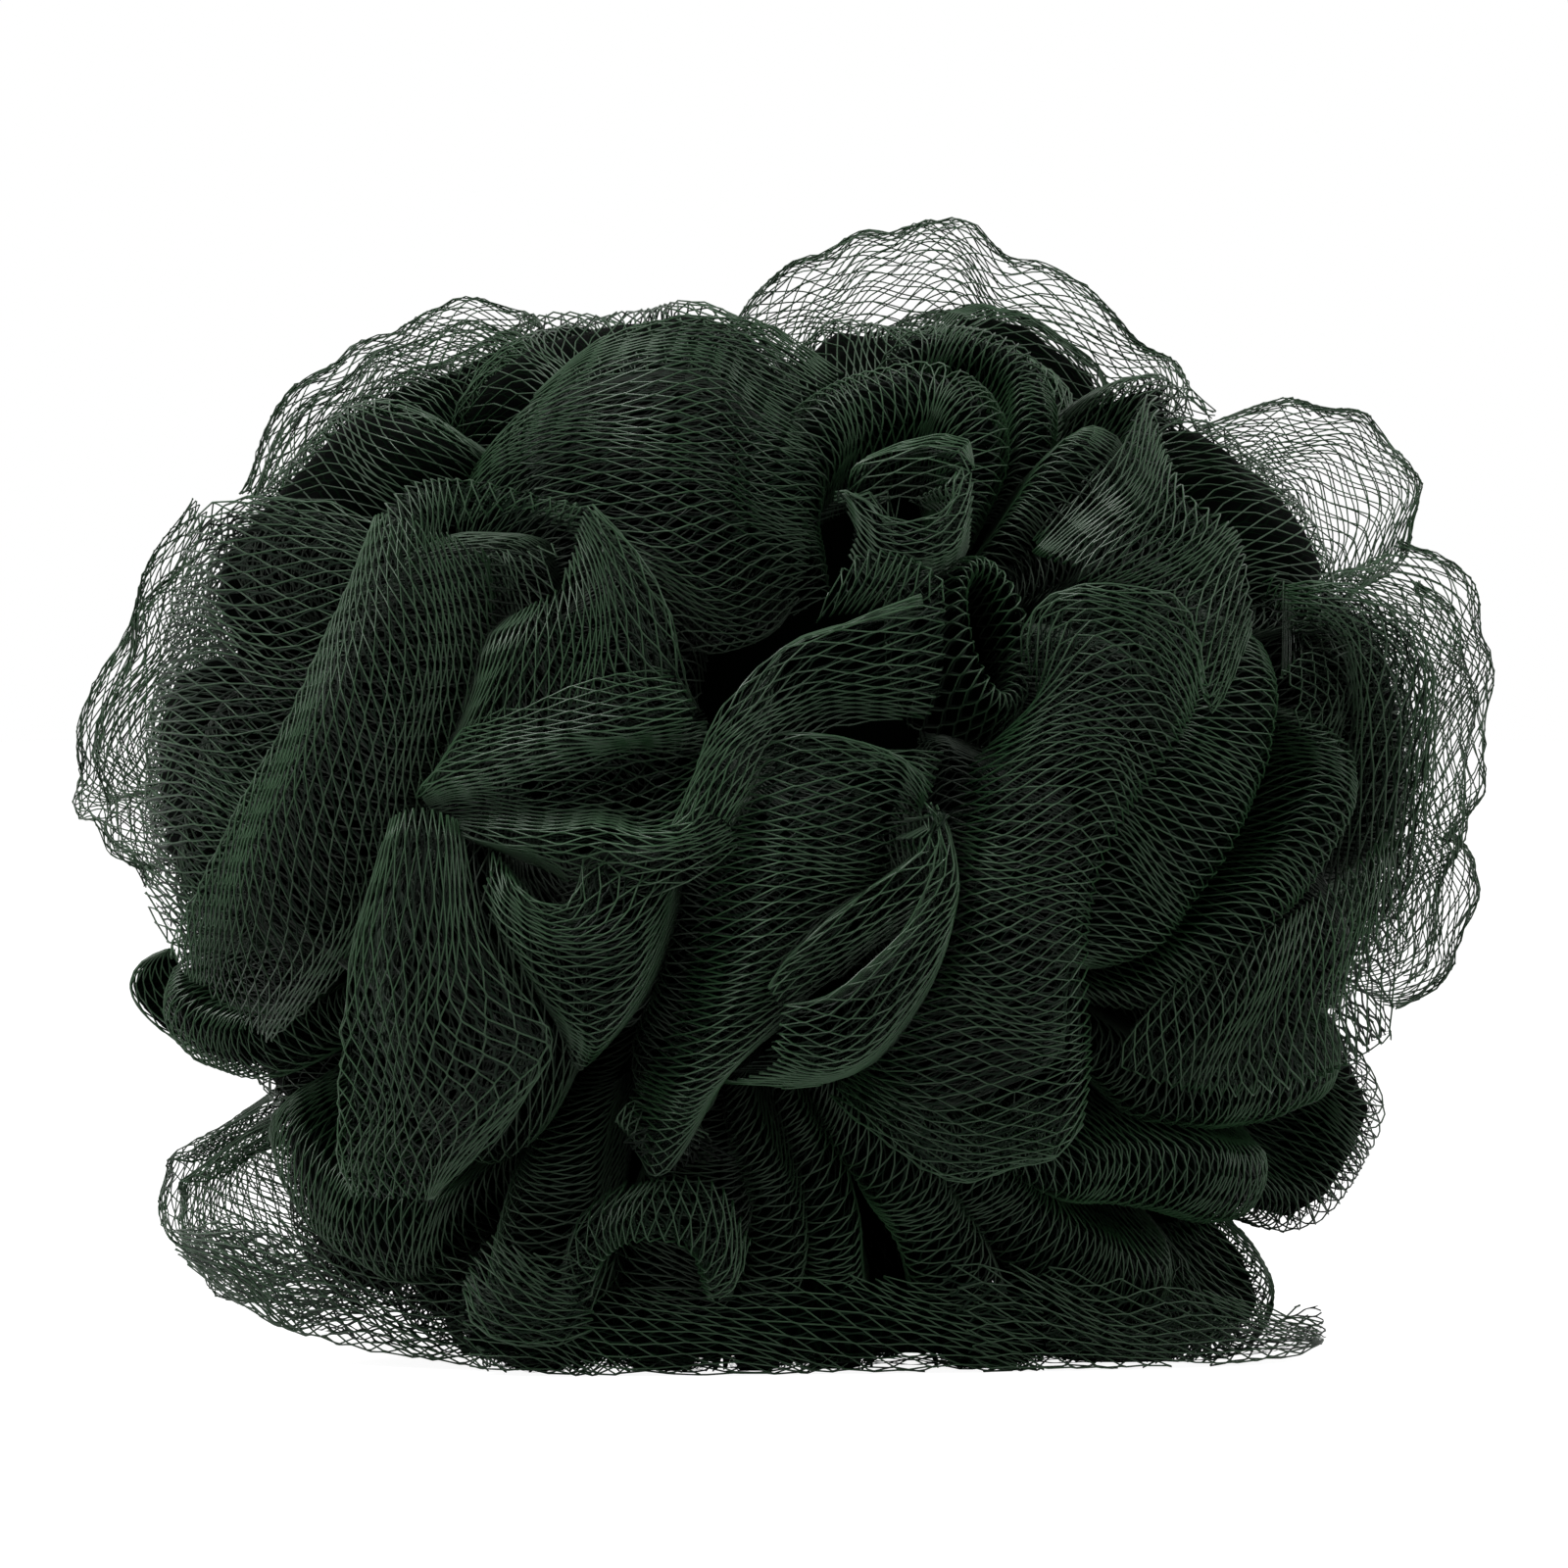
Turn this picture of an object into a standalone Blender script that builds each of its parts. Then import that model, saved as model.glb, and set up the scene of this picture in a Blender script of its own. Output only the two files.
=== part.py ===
"""Bath pouf: a long tube of diamond netting, ruffled into folds and tied round its waist.

The netting is one folded piece. Its folds are rounded ridges that stand on two domes, one in
front and one behind, and the domes meet in a narrow gathered waist. The tie sits round the waist.
Lengths are in metres, +Z is up, the front of the pouf looks along -Y, and the origin is at the
middle of the base that it rests on.
"""

import math
import random

import bmesh
import bpy
from mathutils import Matrix, Vector

# Overall size of the pouf.
WIDTH = 0.140
DEPTH = 0.118
HEIGHT = 0.111

# The folds stand out further in front than behind, so the pouf is set back by this much and has its
# middle over the origin.
SET_BACK = 0.004

# The photograph's pixels, in its 1600 x 1600 frame, that the front folds are read from.
PHOTO_LEFT, PHOTO_RIGHT = 70, 1530
PHOTO_TOP, PHOTO_BASE = 220, 1381

# Domes of gathered net under the folds, as a share of the pouf's half sizes.
DOME_SHARE = 0.76
DOME_SIDES = 14
DOME_RINGS = 3
PARTING = 0.0012

# The gathered waist and the tie round it.
WAIST_RADIUS = 0.0085
TIE_CORD_RADIUS = 0.0013
TIE_TURNS = 2
TIE_CLEARANCE = 0.0003
TIE_KNOT_RADIUS = 0.0022
TIE_SIDES = 18
TIE_CORD_SIDES = 6

# Folds: how deep their sides run, how far they narrow on the way, how round the ridge is, and the
# length over which an end dives in among the other folds.
FOLD_DEPTH = 0.024
FOLD_FOOT_SHARE = 0.7
FOLD_ROUNDNESS = 0.75
FOLD_STEP = 0.0109
FOLD_DIVE = 0.010
FOLD_END_LIFT = 0.2

# Curls: folds that close on themselves round an open mouth.
CURL_RIM = 0.0016
CURL_POCKET = 0.011
CURL_FLARE = 0.0035
CURL_SIDES = 10

# Frills: thin double net that stands out past the folds, with openings through it.
FRILL_THICKNESS = 0.0013
FRILL_CELL = 0.0092
FRILL_REACH = 0.52
FRILL_STRAND = 0.0009
FRILL_OPEN_ROWS = 3
FRILL_WAVE = 0.0016

# Folds that the pouf rests on, flattened level with the floor by its weight. They run front to back
# in two rows, and their ridges would reach this far below the floor.
SEAT_ROWS = (-0.020, 0.022)
SEAT_COLUMNS = (-0.027, 0.004, 0.035)
SEAT_HALF_LENGTH = 0.013
SEAT_HALF_WIDTH = 0.0075
SEAT_LEAN = 0.35
SEAT_PRESS = 0.0014

# Folds behind and at the sides, laid out by rule. Places along the front-to-back axis run from -1 at
# the front to 1 at the back.
BACK_FOLDS = 16
BACK_FOLD_HALF_LENGTH = 0.027
BACK_FOLD_HALF_WIDTH = 0.0098
BACK_SPREAD = 0.92
BACK_SEED = 11
SIDE_FOLDS = 10
SIDE_PLACE = -0.32

NET_GREEN = (0.012, 0.050, 0.028, 1.0)
TIE_GREEN = (0.018, 0.070, 0.040, 1.0)

# Front folds. Each point of a ridge line is (pixel across, pixel down, out, left, right): out is the
# share of the half depth that the ridge stands forward, and left and right are the fold's half
# widths in pixels, to the left and the right of its run.
FRONT_FOLDS = {
    "top_left_lobe": [(640, 338, 0.42, 90, 130), (615, 420, 0.66, 150, 190),
                      (625, 520, 0.78, 140, 170), (650, 640, 0.80, 110, 120)],
    "top_fan": [(852, 385, 0.40, 40, 40), (800, 450, 0.66, 45, 60),
                (790, 530, 0.74, 45, 50), (830, 620, 0.76, 40, 50)],
    "long_left_roll": [(490, 500, 0.72, 60, 60), (430, 620, 0.86, 85, 85),
                       (365, 745, 0.86, 85, 95), (300, 865, 0.78, 85, 95),
                       (235, 980, 0.62, 60, 60)],
    "left_shoulder": [(610, 520, 0.76, 45, 30), (640, 610, 0.90, 60, 95),
                      (600, 710, 0.92, 85, 95), (500, 800, 0.88, 55, 50)],
    "far_left_top": [(205, 570, 0.34, 50, 45), (290, 560, 0.52, 45, 60),
                     (385, 575, 0.62, 45, 50)],
    "far_left_roll": [(310, 650, 0.62, 70, 70), (240, 770, 0.56, 95, 90),
                      (200, 890, 0.48, 80, 70), (190, 980, 0.40, 50, 40)],
    "left_hem": [(125, 985, 0.26, 26, 30), (185, 1052, 0.40, 34, 36),
                 (265, 1068, 0.50, 34, 34), (350, 1030, 0.56, 30, 26)],
    "wedge": [(455, 800, 0.86, 35, 40), (440, 900, 0.98, 80, 70),
              (465, 1000, 0.98, 120, 105), (475, 1105, 0.92, 85, 100),
              (445, 1212, 0.80, 22, 30)],
    "wedge_back": [(350, 1060, 0.60, 40, 40), (385, 1130, 0.74, 55, 50),
                   (400, 1215, 0.68, 45, 40)],
    "low_left_roll": [(335, 1060, 0.46, 36, 36), (285, 1140, 0.46, 46, 40),
                      (320, 1225, 0.60, 50, 46), (410, 1275, 0.72, 60, 46),
                      (500, 1262, 0.74, 50, 40)],
    "centre_ridge": [(452, 800, 0.90, 16, 46), (520, 768, 1.00, 18, 62),
                     (610, 750, 1.00, 20, 66), (712, 728, 0.94, 18, 50)],
    "centre_cone": [(610, 850, 0.92, 55, 60), (600, 920, 1.02, 90, 90),
                    (600, 1000, 1.00, 60, 66), (596, 1075, 0.90, 18, 20)],
    "centre_band": [(690, 835, 0.98, 24, 24), (735, 750, 1.00, 26, 26),
                    (800, 672, 0.96, 26, 30), (880, 640, 0.92, 28, 34),
                    (955, 612, 0.84, 24, 28)],
    "broad_centre": [(830, 765, 0.98, 95, 110), (790, 870, 1.02, 90, 100),
                     (735, 1000, 1.00, 75, 66), (690, 1090, 0.92, 45, 45),
                     (676, 1160, 0.84, 32, 32)],
    "loop_side": [(955, 850, 0.94, 30, 40), (930, 960, 0.96, 36, 46),
                  (880, 1050, 0.92, 44, 60), (800, 1095, 0.84, 40, 50)],
    "right_apron": [(1060, 745, 0.92, 90, 90), (1030, 850, 0.98, 92, 78),
                    (1010, 970, 0.98, 92, 100), (1000, 1070, 0.94, 90, 110),
                    (1010, 1145, 0.86, 70, 80)],
    "apron_tuck": [(1090, 960, 0.88, 26, 26), (1088, 1060, 0.90, 26, 26),
                   (1078, 1140, 0.84, 20, 24)],
    "right_cheek": [(1120, 605, 0.78, 70, 70), (1130, 680, 0.90, 84, 86),
                    (1100, 765, 0.92, 70, 70)],
    "shoulder_ridge": [(1170, 400, 0.46, 24, 28), (1110, 480, 0.62, 34, 44),
                       (1045, 560, 0.68, 28, 36)],
    "brow_fold": [(1050, 560, 0.70, 36, 30), (1130, 540, 0.74, 40, 44),
                  (1198, 600, 0.76, 40, 44), (1226, 690, 0.78, 34, 36),
                  (1200, 790, 0.80, 26, 26)],
    "crown_roll": [(770, 500, 0.70, 36, 36), (850, 418, 0.66, 42, 40),
                   (950, 385, 0.60, 42, 40), (1003, 432, 0.62, 34, 36),
                   (990, 540, 0.68, 28, 30)],
    "crown_rim": [(880, 372, 0.44, 22, 22), (950, 338, 0.40, 24, 26),
                  (1040, 352, 0.44, 24, 26), (1062, 430, 0.52, 26, 24),
                  (1035, 530, 0.60, 24, 24)],
    "crown_back": [(1120, 350, 0.24, 34, 34), (1190, 380, 0.30, 40, 40),
                   (1235, 440, 0.38, 36, 36)],
    "inner_petal": [(835, 615, 0.82, 22, 30), (895, 588, 0.88, 26, 40),
                    (955, 605, 0.88, 22, 30)],
    "right_roll": [(1272, 590, 0.62, 28, 28), (1275, 700, 0.74, 42, 44),
                   (1235, 810, 0.84, 58, 62), (1165, 910, 0.88, 60, 62),
                   (1115, 1010, 0.84, 40, 44)],
    "right_groove_roll": [(1345, 690, 0.62, 24, 22), (1365, 790, 0.68, 26, 26),
                          (1310, 890, 0.76, 30, 30), (1215, 980, 0.80, 28, 30),
                          (1130, 1045, 0.78, 22, 22)],
    "right_arch": [(1300, 600, 0.50, 26, 30), (1370, 612, 0.52, 30, 40),
                   (1418, 690, 0.52, 34, 40), (1432, 800, 0.52, 36, 46),
                   (1420, 920, 0.52, 36, 60)],
    "right_flank": [(1400, 880, 0.54, 44, 60), (1350, 970, 0.64, 62, 66),
                    (1270, 1030, 0.74, 56, 60), (1195, 1065, 0.76, 28, 32)],
    "low_right_upper": [(1118, 1062, 0.78, 24, 24), (1195, 1112, 0.74, 34, 34),
                        (1310, 1105, 0.62, 38, 40), (1415, 1065, 0.42, 34, 34)],
    "low_right_lower": [(1010, 1182, 0.80, 20, 22), (1100, 1190, 0.80, 32, 34),
                        (1220, 1205, 0.68, 42, 44), (1335, 1235, 0.50, 40, 40)],
    "right_heel": [(1412, 1060, 0.26, 34, 34), (1405, 1140, 0.24, 38, 38),
                   (1365, 1225, 0.26, 42, 42), (1300, 1290, 0.34, 40, 40)],
    "foot_roll_1": [(590, 1110, 0.74, 34, 34), (562, 1215, 0.84, 50, 48),
                    (540, 1330, 0.80, 56, 54), (530, 1470, 0.70, 50, 50)],
    "foot_hood": [(715, 1165, 0.78, 44, 44), (700, 1250, 0.88, 62, 60),
                  (675, 1350, 0.84, 60, 58), (660, 1480, 0.72, 54, 54)],
    "foot_roll_2": [(735, 1120, 0.74, 26, 24), (784, 1225, 0.80, 32, 30),
                    (778, 1340, 0.76, 36, 34), (765, 1480, 0.66, 34, 32)],
    "foot_roll_3": [(775, 1100, 0.72, 24, 24), (834, 1200, 0.76, 30, 30),
                    (850, 1330, 0.72, 36, 36), (860, 1480, 0.60, 40, 40)],
    "foot_roll_4": [(805, 1100, 0.74, 26, 28), (900, 1180, 0.80, 36, 36),
                    (965, 1280, 0.76, 42, 42), (1000, 1375, 0.66, 46, 44),
                    (1030, 1480, 0.54, 44, 44)],
    "foot_roll_5": [(890, 1125, 0.76, 28, 28), (990, 1200, 0.78, 38, 38),
                    (1090, 1290, 0.66, 46, 46), (1230, 1360, 0.50, 50, 50)],
    "foot_skirt_left": [(360, 1310, 0.46, 50, 50), (460, 1352, 0.54, 52, 50),
                        (600, 1372, 0.60, 50, 46)],
    "foot_skirt_right": [(1060, 1368, 0.50, 44, 44), (1200, 1372, 0.44, 46, 44),
                         (1345, 1358, 0.30, 40, 36)],
}

# Front curls: (pixel across, pixel down, out, half length, half width, turn): the turn is in degrees
# from upright, clockwise, and lengths are in pixels.
FRONT_CURLS = {
    "loop_mouth": (868, 908, 1.04, 108, 34, 38),
    "cone_mouth": (568, 872, 1.02, 46, 30, 62),
    "shoulder_mouth": (560, 552, 0.84, 52, 40, 70),
    "crown_mouth": (920, 512, 0.78, 58, 32, 86),
    "narrow_mouth": (1010, 640, 0.88, 70, 30, 6),
    "band_mouth": (845, 680, 0.94, 60, 30, 72),
    "hood_mouth": (660, 1296, 0.92, 56, 44, 20),
}

# Frills at the outline: (pixel across, pixel down, out) along the rim, then the root that the net
# gathers towards.
FRILLS = {
    "top_left_frill": ([(232, 500, -0.10), (300, 392, -0.14), (400, 330, -0.16),
                        (500, 303, -0.12), (556, 330, -0.04)], (560, 600, 0.0)),
    "top_frill": ([(735, 322, -0.20), (830, 256, -0.22), (945, 221, -0.20),
                   (1060, 262, -0.16), (1190, 356, -0.10)], (950, 600, 0.0)),
    "upper_right_frill": ([(1225, 425, -0.20), (1310, 410, -0.24), (1400, 424, -0.22),
                           (1455, 520, -0.14)], (1100, 760, 0.0)),
    "right_frill": ([(1440, 545, -0.10), (1502, 596, -0.12), (1529, 690, -0.14),
                     (1518, 790, -0.10), (1490, 860, -0.04)], (1180, 720, 0.0)),
    "low_right_frill": ([(1500, 850, -0.20), (1514, 900, -0.22), (1492, 985, -0.18),
                         (1430, 1040, -0.10)], (1200, 880, 0.0)),
    "left_frill": ([(195, 505, -0.02), (118, 640, -0.06), (71, 780, -0.08),
                    (92, 850, -0.02), (150, 890, 0.04)], (420, 720, 0.0)),
    "low_left_frill": ([(255, 1150, -0.16), (160, 1200, -0.20), (172, 1275, -0.18),
                        (240, 1335, -0.14), (370, 1345, -0.08)], (860, 800, -0.1)),
}


def centre():
    """The middle of the pouf."""
    return Vector((0.0, 0.0, HEIGHT / 2))


def pixel_size():
    """Metres for one pixel across."""
    return WIDTH / (PHOTO_RIGHT - PHOTO_LEFT)


def from_photo(across, down, out):
    """The point seen at a pixel, standing forward by that share of the half depth."""
    x = (across - (PHOTO_LEFT + PHOTO_RIGHT) / 2) * pixel_size()
    z = (PHOTO_BASE - down) * HEIGHT / (PHOTO_BASE - PHOTO_TOP)
    return Vector((x, -out * DEPTH / 2, z))


def along(points, share):
    """A smooth curve through the points, at a share of its run. Points are equal-length tuples."""
    spans = len(points) - 1
    place = min(max(share, 0.0), 1.0) * spans
    first = min(int(place), spans - 1)
    t = place - first
    before = points[max(first - 1, 0)]
    after = points[min(first + 2, spans)]
    here, there = points[first], points[first + 1]
    result = []
    for p0, p1, p2, p3 in zip(before, here, there, after):
        result.append(0.5 * (2 * p1 + (p2 - p0) * t + (2 * p0 - 5 * p1 + 4 * p2 - p3) * t * t
                             + (3 * p1 - p0 - 3 * p2 + p3) * t ** 3))
    return result


def link(name, mesh):
    """A new object of that mesh in the scene."""
    thing = bpy.data.objects.new(name, mesh)
    bpy.context.scene.collection.objects.link(thing)
    return thing


def solid_from_rings(name, rings):
    """A closed solid through rings of points, capped at both ends."""
    build = bmesh.new()
    loops = [[build.verts.new(point) for point in ring] for ring in rings]
    count = len(rings[0])
    for low, high in zip(loops, loops[1:]):
        for i in range(count):
            j = (i + 1) % count
            build.faces.new((low[i], low[j], high[j], high[i]))
    build.faces.new(loops[0][::-1])
    build.faces.new(loops[-1])
    bmesh.ops.recalc_face_normals(build, faces=build.faces)
    mesh = bpy.data.meshes.new(name)
    build.to_mesh(mesh)
    build.free()
    return link(name, mesh)


def end_lift(distance):
    """How much of its height a fold keeps at that distance from its end."""
    missing = 1.0 - min(distance / FOLD_DIVE, 1.0)
    return FOLD_END_LIFT + (1.0 - FOLD_END_LIFT) * math.sqrt(1.0 - missing ** 2)


def fold(name, ridge):
    """One rounded fold. ridge is a list of (x, y, z, left half width, right half width)."""
    run = sum((Vector(b[:3]) - Vector(a[:3])).length for a, b in zip(ridge, ridge[1:]))
    stations = max(5, min(7, 2 + round(run / FOLD_STEP)))
    rings = []
    for k in range(stations):
        share = (1 - math.cos(math.pi * k / (stations - 1))) / 2
        x, y, z, left, right = along(ridge, share)
        ahead = Vector(along(ridge, share + 0.03)[:3])
        behind = Vector(along(ridge, share - 0.03)[:3])
        ridge_point = Vector((x, y, z))
        outward = (ridge_point - centre()).normalized()
        side = (ahead - behind).cross(outward).normalized()
        lift = end_lift(min(share, 1 - share) * run)
        height = FOLD_DEPTH * lift
        foot = ridge_point - outward * FOLD_DEPTH
        crest = foot + outward * height
        ring = []
        for turn in (-90, -50, 0, 50, 90):
            reach = (left if turn < 0 else right) * (0.5 + 0.5 * lift)
            drop = min(reach * FOLD_ROUNDNESS, height * 0.8)
            angle = math.radians(turn)
            ring.append(crest + side * reach * math.sin(angle) - outward * drop * (1 - math.cos(angle)))
        ring.append(foot + side * right * FOLD_FOOT_SHARE)
        ring.append(foot - side * left * FOLD_FOOT_SHARE)
        rings.append(ring)
    return solid_from_rings(name, rings)


def curl(name, middle, half_length, half_width, turn):
    """A funnel of folded net round an open mouth that faces outward."""
    outward = (middle - centre()).normalized()
    across = Vector((0, 0, 1)).cross(outward).normalized() * -1
    upward = across.cross(outward).normalized() * -1
    if upward.z < 0:
        upward = -upward
    angle = math.radians(turn)
    long_way = upward * math.cos(angle) + across * math.sin(angle)
    wide_way = across * math.cos(angle) - upward * math.sin(angle)

    def ring(grow, down):
        points = []
        for k in range(CURL_SIDES):
            a = 2 * math.pi * k / CURL_SIDES
            points.append(middle - outward * down
                          + long_way * (half_length + grow) * math.cos(a)
                          + wide_way * (half_width + grow) * math.sin(a))
        return points

    pocket = -min(half_width * 0.55, CURL_POCKET)
    rings = [ring(pocket, CURL_POCKET), ring(-CURL_RIM, CURL_RIM), ring(0, 0),
             ring(CURL_RIM, CURL_RIM), ring(CURL_FLARE, FOLD_DEPTH / 2), ring(0, FOLD_DEPTH)]
    return solid_from_rings(name, rings)


def frill(name, rim, root):
    """A thin frill of double net with diamond openings, fanned out from its root to its rim."""
    run = sum((Vector(b) - Vector(a)).length for a, b in zip(rim, rim[1:]))
    middle = Vector(rim[len(rim) // 2])
    columns = max(3, round(run / FRILL_CELL))
    rows = max(3, round((middle - root).length * FRILL_REACH / FRILL_CELL))
    build = bmesh.new()
    grid = {}
    for i in range(2 * columns + 1):
        share = i / (2 * columns)
        edge = Vector(along(rim, share))
        wave = FRILL_WAVE * math.sin(math.pi * share * columns / 1.5)
        for j in range(2 * rows + 1):
            if (i + j) % 2 == 0:
                inward = j / (2 * rows)
                point = edge.lerp(root, inward * FRILL_REACH)
                point.y += wave * (1 - inward)
                grid[i, j] = build.verts.new(point)
    openings = []
    for i in range(1, 2 * columns):
        for j in range(1, 2 * rows):
            if (i + j) % 2:
                corners = [grid[i, j - 1], grid[i + 1, j], grid[i, j + 1], grid[i - 1, j]]
                face = build.faces.new(corners)
                if j <= FRILL_OPEN_ROWS:
                    openings.append(face)
    bmesh.ops.recalc_face_normals(build, faces=build.faces)
    bmesh.ops.inset_individual(build, faces=openings, thickness=FRILL_STRAND)
    bmesh.ops.delete(build, geom=openings, context="FACES_ONLY")
    mesh = bpy.data.meshes.new(name)
    build.to_mesh(mesh)
    build.free()
    thing = link(name, mesh)
    thickness = thing.modifiers.new("thickness", "SOLIDIFY")
    thickness.thickness = FRILL_THICKNESS
    thickness.offset = 0.0
    return thing


def dome(name, facing):
    """Half of the gathered core: facing is -1 for the front dome and 1 for the back one."""
    half = Vector((WIDTH, DEPTH, HEIGHT)) / 2 * DOME_SHARE
    rings = []
    for j in range(DOME_RINGS + 1):
        lift = math.pi / 2 * 0.94 * j / DOME_RINGS
        spread = math.cos(lift)
        ring = []
        for k in range(DOME_SIDES):
            angle = 2 * math.pi * k / DOME_SIDES
            ring.append(Vector((half.x * spread * math.cos(angle), facing * half.y * math.sin(lift),
                                HEIGHT / 2 + half.z * spread * math.sin(angle))))
        rings.append(ring)
    return solid_from_rings(name, rings)


def lathe(name, profile, sides):
    """A closed ring round the pouf's front-to-back axis. profile is (radius, y) points, in order."""
    build = bmesh.new()
    loops = []
    for k in range(sides):
        angle = 2 * math.pi * k / sides
        loops.append([build.verts.new((radius * math.cos(angle), y,
                                       HEIGHT / 2 + radius * math.sin(angle)))
                      for radius, y in profile])
    for k in range(sides):
        here, there = loops[k], loops[(k + 1) % sides]
        for i in range(len(profile)):
            j = (i + 1) % len(profile)
            build.faces.new((here[i], here[j], there[j], there[i]))
    bmesh.ops.recalc_face_normals(build, faces=build.faces)
    mesh = bpy.data.meshes.new(name)
    build.to_mesh(mesh)
    build.free()
    return link(name, mesh)


def parting():
    """The cutter between the halves: a thin gap that widens to a groove for the tie."""
    tie_half = TIE_TURNS * TIE_CORD_RADIUS + TIE_CLEARANCE
    room = WAIST_RADIUS + 2 * TIE_CORD_RADIUS + TIE_KNOT_RADIUS + 2 * TIE_CLEARANCE
    beyond = WIDTH + HEIGHT
    profile = [(WAIST_RADIUS, -tie_half), (room, -tie_half), (room + tie_half, -PARTING / 2),
               (beyond, -PARTING / 2), (beyond, PARTING / 2), (room + tie_half, PARTING / 2),
               (room, tie_half), (WAIST_RADIUS, tie_half)]
    return lathe("parting", profile, DOME_SIDES)


def box(name, low, high):
    """A plain box between two corners."""
    build = bmesh.new()
    bmesh.ops.create_cube(build, size=1.0)
    size = Vector(high) - Vector(low)
    bmesh.ops.scale(build, vec=size, verts=build.verts)
    bmesh.ops.translate(build, vec=(Vector(high) + Vector(low)) / 2, verts=build.verts)
    mesh = bpy.data.meshes.new(name)
    build.to_mesh(mesh)
    build.free()
    return link(name, mesh)


def combine(base, operation, others):
    """base with the others joined to it or cut from it. The others are used up."""
    group = bpy.data.collections.new("operands")
    bpy.context.scene.collection.children.link(group)
    for other in others:
        bpy.context.scene.collection.objects.unlink(other)
        group.objects.link(other)
    step = base.modifiers.new(operation.lower(), "BOOLEAN")
    step.operation = operation
    # EXACT leaves edges that four faces share where two of the many folds just touch.
    step.solver = "MANIFOLD"
    step.operand_type = "COLLECTION"
    step.collection = group
    bpy.context.view_layer.update()
    graph = bpy.context.evaluated_depsgraph_get()
    result = bpy.data.meshes.new_from_object(base.evaluated_get(graph))
    base.modifiers.clear()
    base.data = result
    for other in others:
        bpy.data.objects.remove(other)
    bpy.data.collections.remove(group)


def closed_shells(build):
    """The mesh's faces in groups that meet edge to edge, two by two."""
    waiting = set(build.faces)
    shells = []
    while waiting:
        shell = [waiting.pop()]
        for face in shell:
            for edge in face.edges:
                if len(edge.link_faces) != 2:
                    continue
                for other in edge.link_faces:
                    if other in waiting:
                        waiting.remove(other)
                        shell.append(other)
        shells.append(shell)
    return shells


def keep_outer_body(thing):
    """Drops shells that the joined folds closed off inside the body."""
    build = bmesh.new()
    build.from_mesh(thing.data)
    shells = closed_shells(build)
    shells.sort(key=len)
    for shell in shells[:-1]:
        bmesh.ops.delete(build, geom=shell, context="FACES")
    build.to_mesh(thing.data)
    build.free()


def tie():
    """The cord that is wound round the waist and knotted."""
    ring_radius = WAIST_RADIUS + TIE_CLEARANCE + TIE_CORD_RADIUS
    profile = []
    half = (TIE_TURNS - 1) * TIE_CORD_RADIUS
    for k in range(TIE_CORD_SIDES):
        angle = 2 * math.pi * (k + 0.5) / TIE_CORD_SIDES
        y = half if math.sin(angle) > 0 else -half
        profile.append((ring_radius + TIE_CORD_RADIUS * math.cos(angle),
                        y + TIE_CORD_RADIUS * math.sin(angle)))
    ring = lathe("centre_tie", profile, TIE_SIDES)
    knot = bmesh.new()
    bmesh.ops.create_icosphere(knot, subdivisions=2, radius=TIE_KNOT_RADIUS)
    bmesh.ops.translate(knot, vec=(0, 0, HEIGHT / 2 + ring_radius + TIE_KNOT_RADIUS - TIE_CORD_RADIUS),
                        verts=knot.verts)
    mesh = bpy.data.meshes.new("knot")
    knot.to_mesh(mesh)
    knot.free()
    combine(ring, "UNION", [link("knot", mesh)])
    return ring


def ruled_fold(name, place, around, lean, size, chance):
    """A fold at that place from front to back and that angle round the pouf, turned by lean."""
    flat = math.sqrt(max(0.0, 1 - place * place))
    out = Vector((flat * math.cos(around), place, flat * math.sin(around)))
    turn = Vector((-math.sin(around), 0, math.cos(around)))
    run = (turn * math.cos(lean) + out.cross(turn) * math.sin(lean)).normalized()
    reach = chance.uniform(0.88, 0.97)
    half_length = BACK_FOLD_HALF_LENGTH * size
    half_width = BACK_FOLD_HALF_WIDTH * chance.uniform(0.85, 1.2)
    points = []
    for share in (-1, -0.33, 0.33, 1):
        spot = Vector((out.x * WIDTH, out.y * DEPTH, out.z * HEIGHT)) / 2
        spot += run * half_length * share
        spot += out.cross(run) * half_length * chance.uniform(-0.2, 0.2)
        spot = spot.normalized() * shell_radius(spot) * reach
        points.append((*(centre() + spot), half_width, half_width))
    return fold(name, points)


def seat_folds():
    """Folds under the pouf, whose ridges pass below the floor."""
    folds = []
    for row, y in enumerate(SEAT_ROWS):
        for column, x in enumerate(SEAT_COLUMNS):
            lean = SEAT_LEAN if (row + column) % 2 else -SEAT_LEAN
            points = []
            for share in (-1, -0.4, 0.4, 1):
                along_y = SEAT_HALF_LENGTH * share
                points.append((x + along_y * lean, y + along_y, -SEAT_PRESS * (1.5 - share ** 2),
                               SEAT_HALF_WIDTH, SEAT_HALF_WIDTH))
            folds.append(fold(f"seat_fold_{row}_{column}", points))
    return folds


def ruled_folds():
    """Folds behind and at the sides, spread evenly and turned this way and that."""
    chance = random.Random(BACK_SEED)
    folds = []
    golden = math.pi * (3 - math.sqrt(5))
    for k in range(BACK_FOLDS):
        place = 1 - (k + 0.5) / BACK_FOLDS * BACK_SPREAD
        folds.append(ruled_fold(f"back_fold_{k}", place, golden * k, chance.uniform(-1.2, 1.2),
                                chance.uniform(0.7, 1.1), chance))
    for k in range(SIDE_FOLDS):
        folds.append(ruled_fold(f"side_fold_{k}", SIDE_PLACE + chance.uniform(-0.08, 0.08),
                                2 * math.pi * k / SIDE_FOLDS, chance.uniform(-0.5, 0.5),
                                chance.uniform(0.6, 0.8), chance))
    return folds


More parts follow.
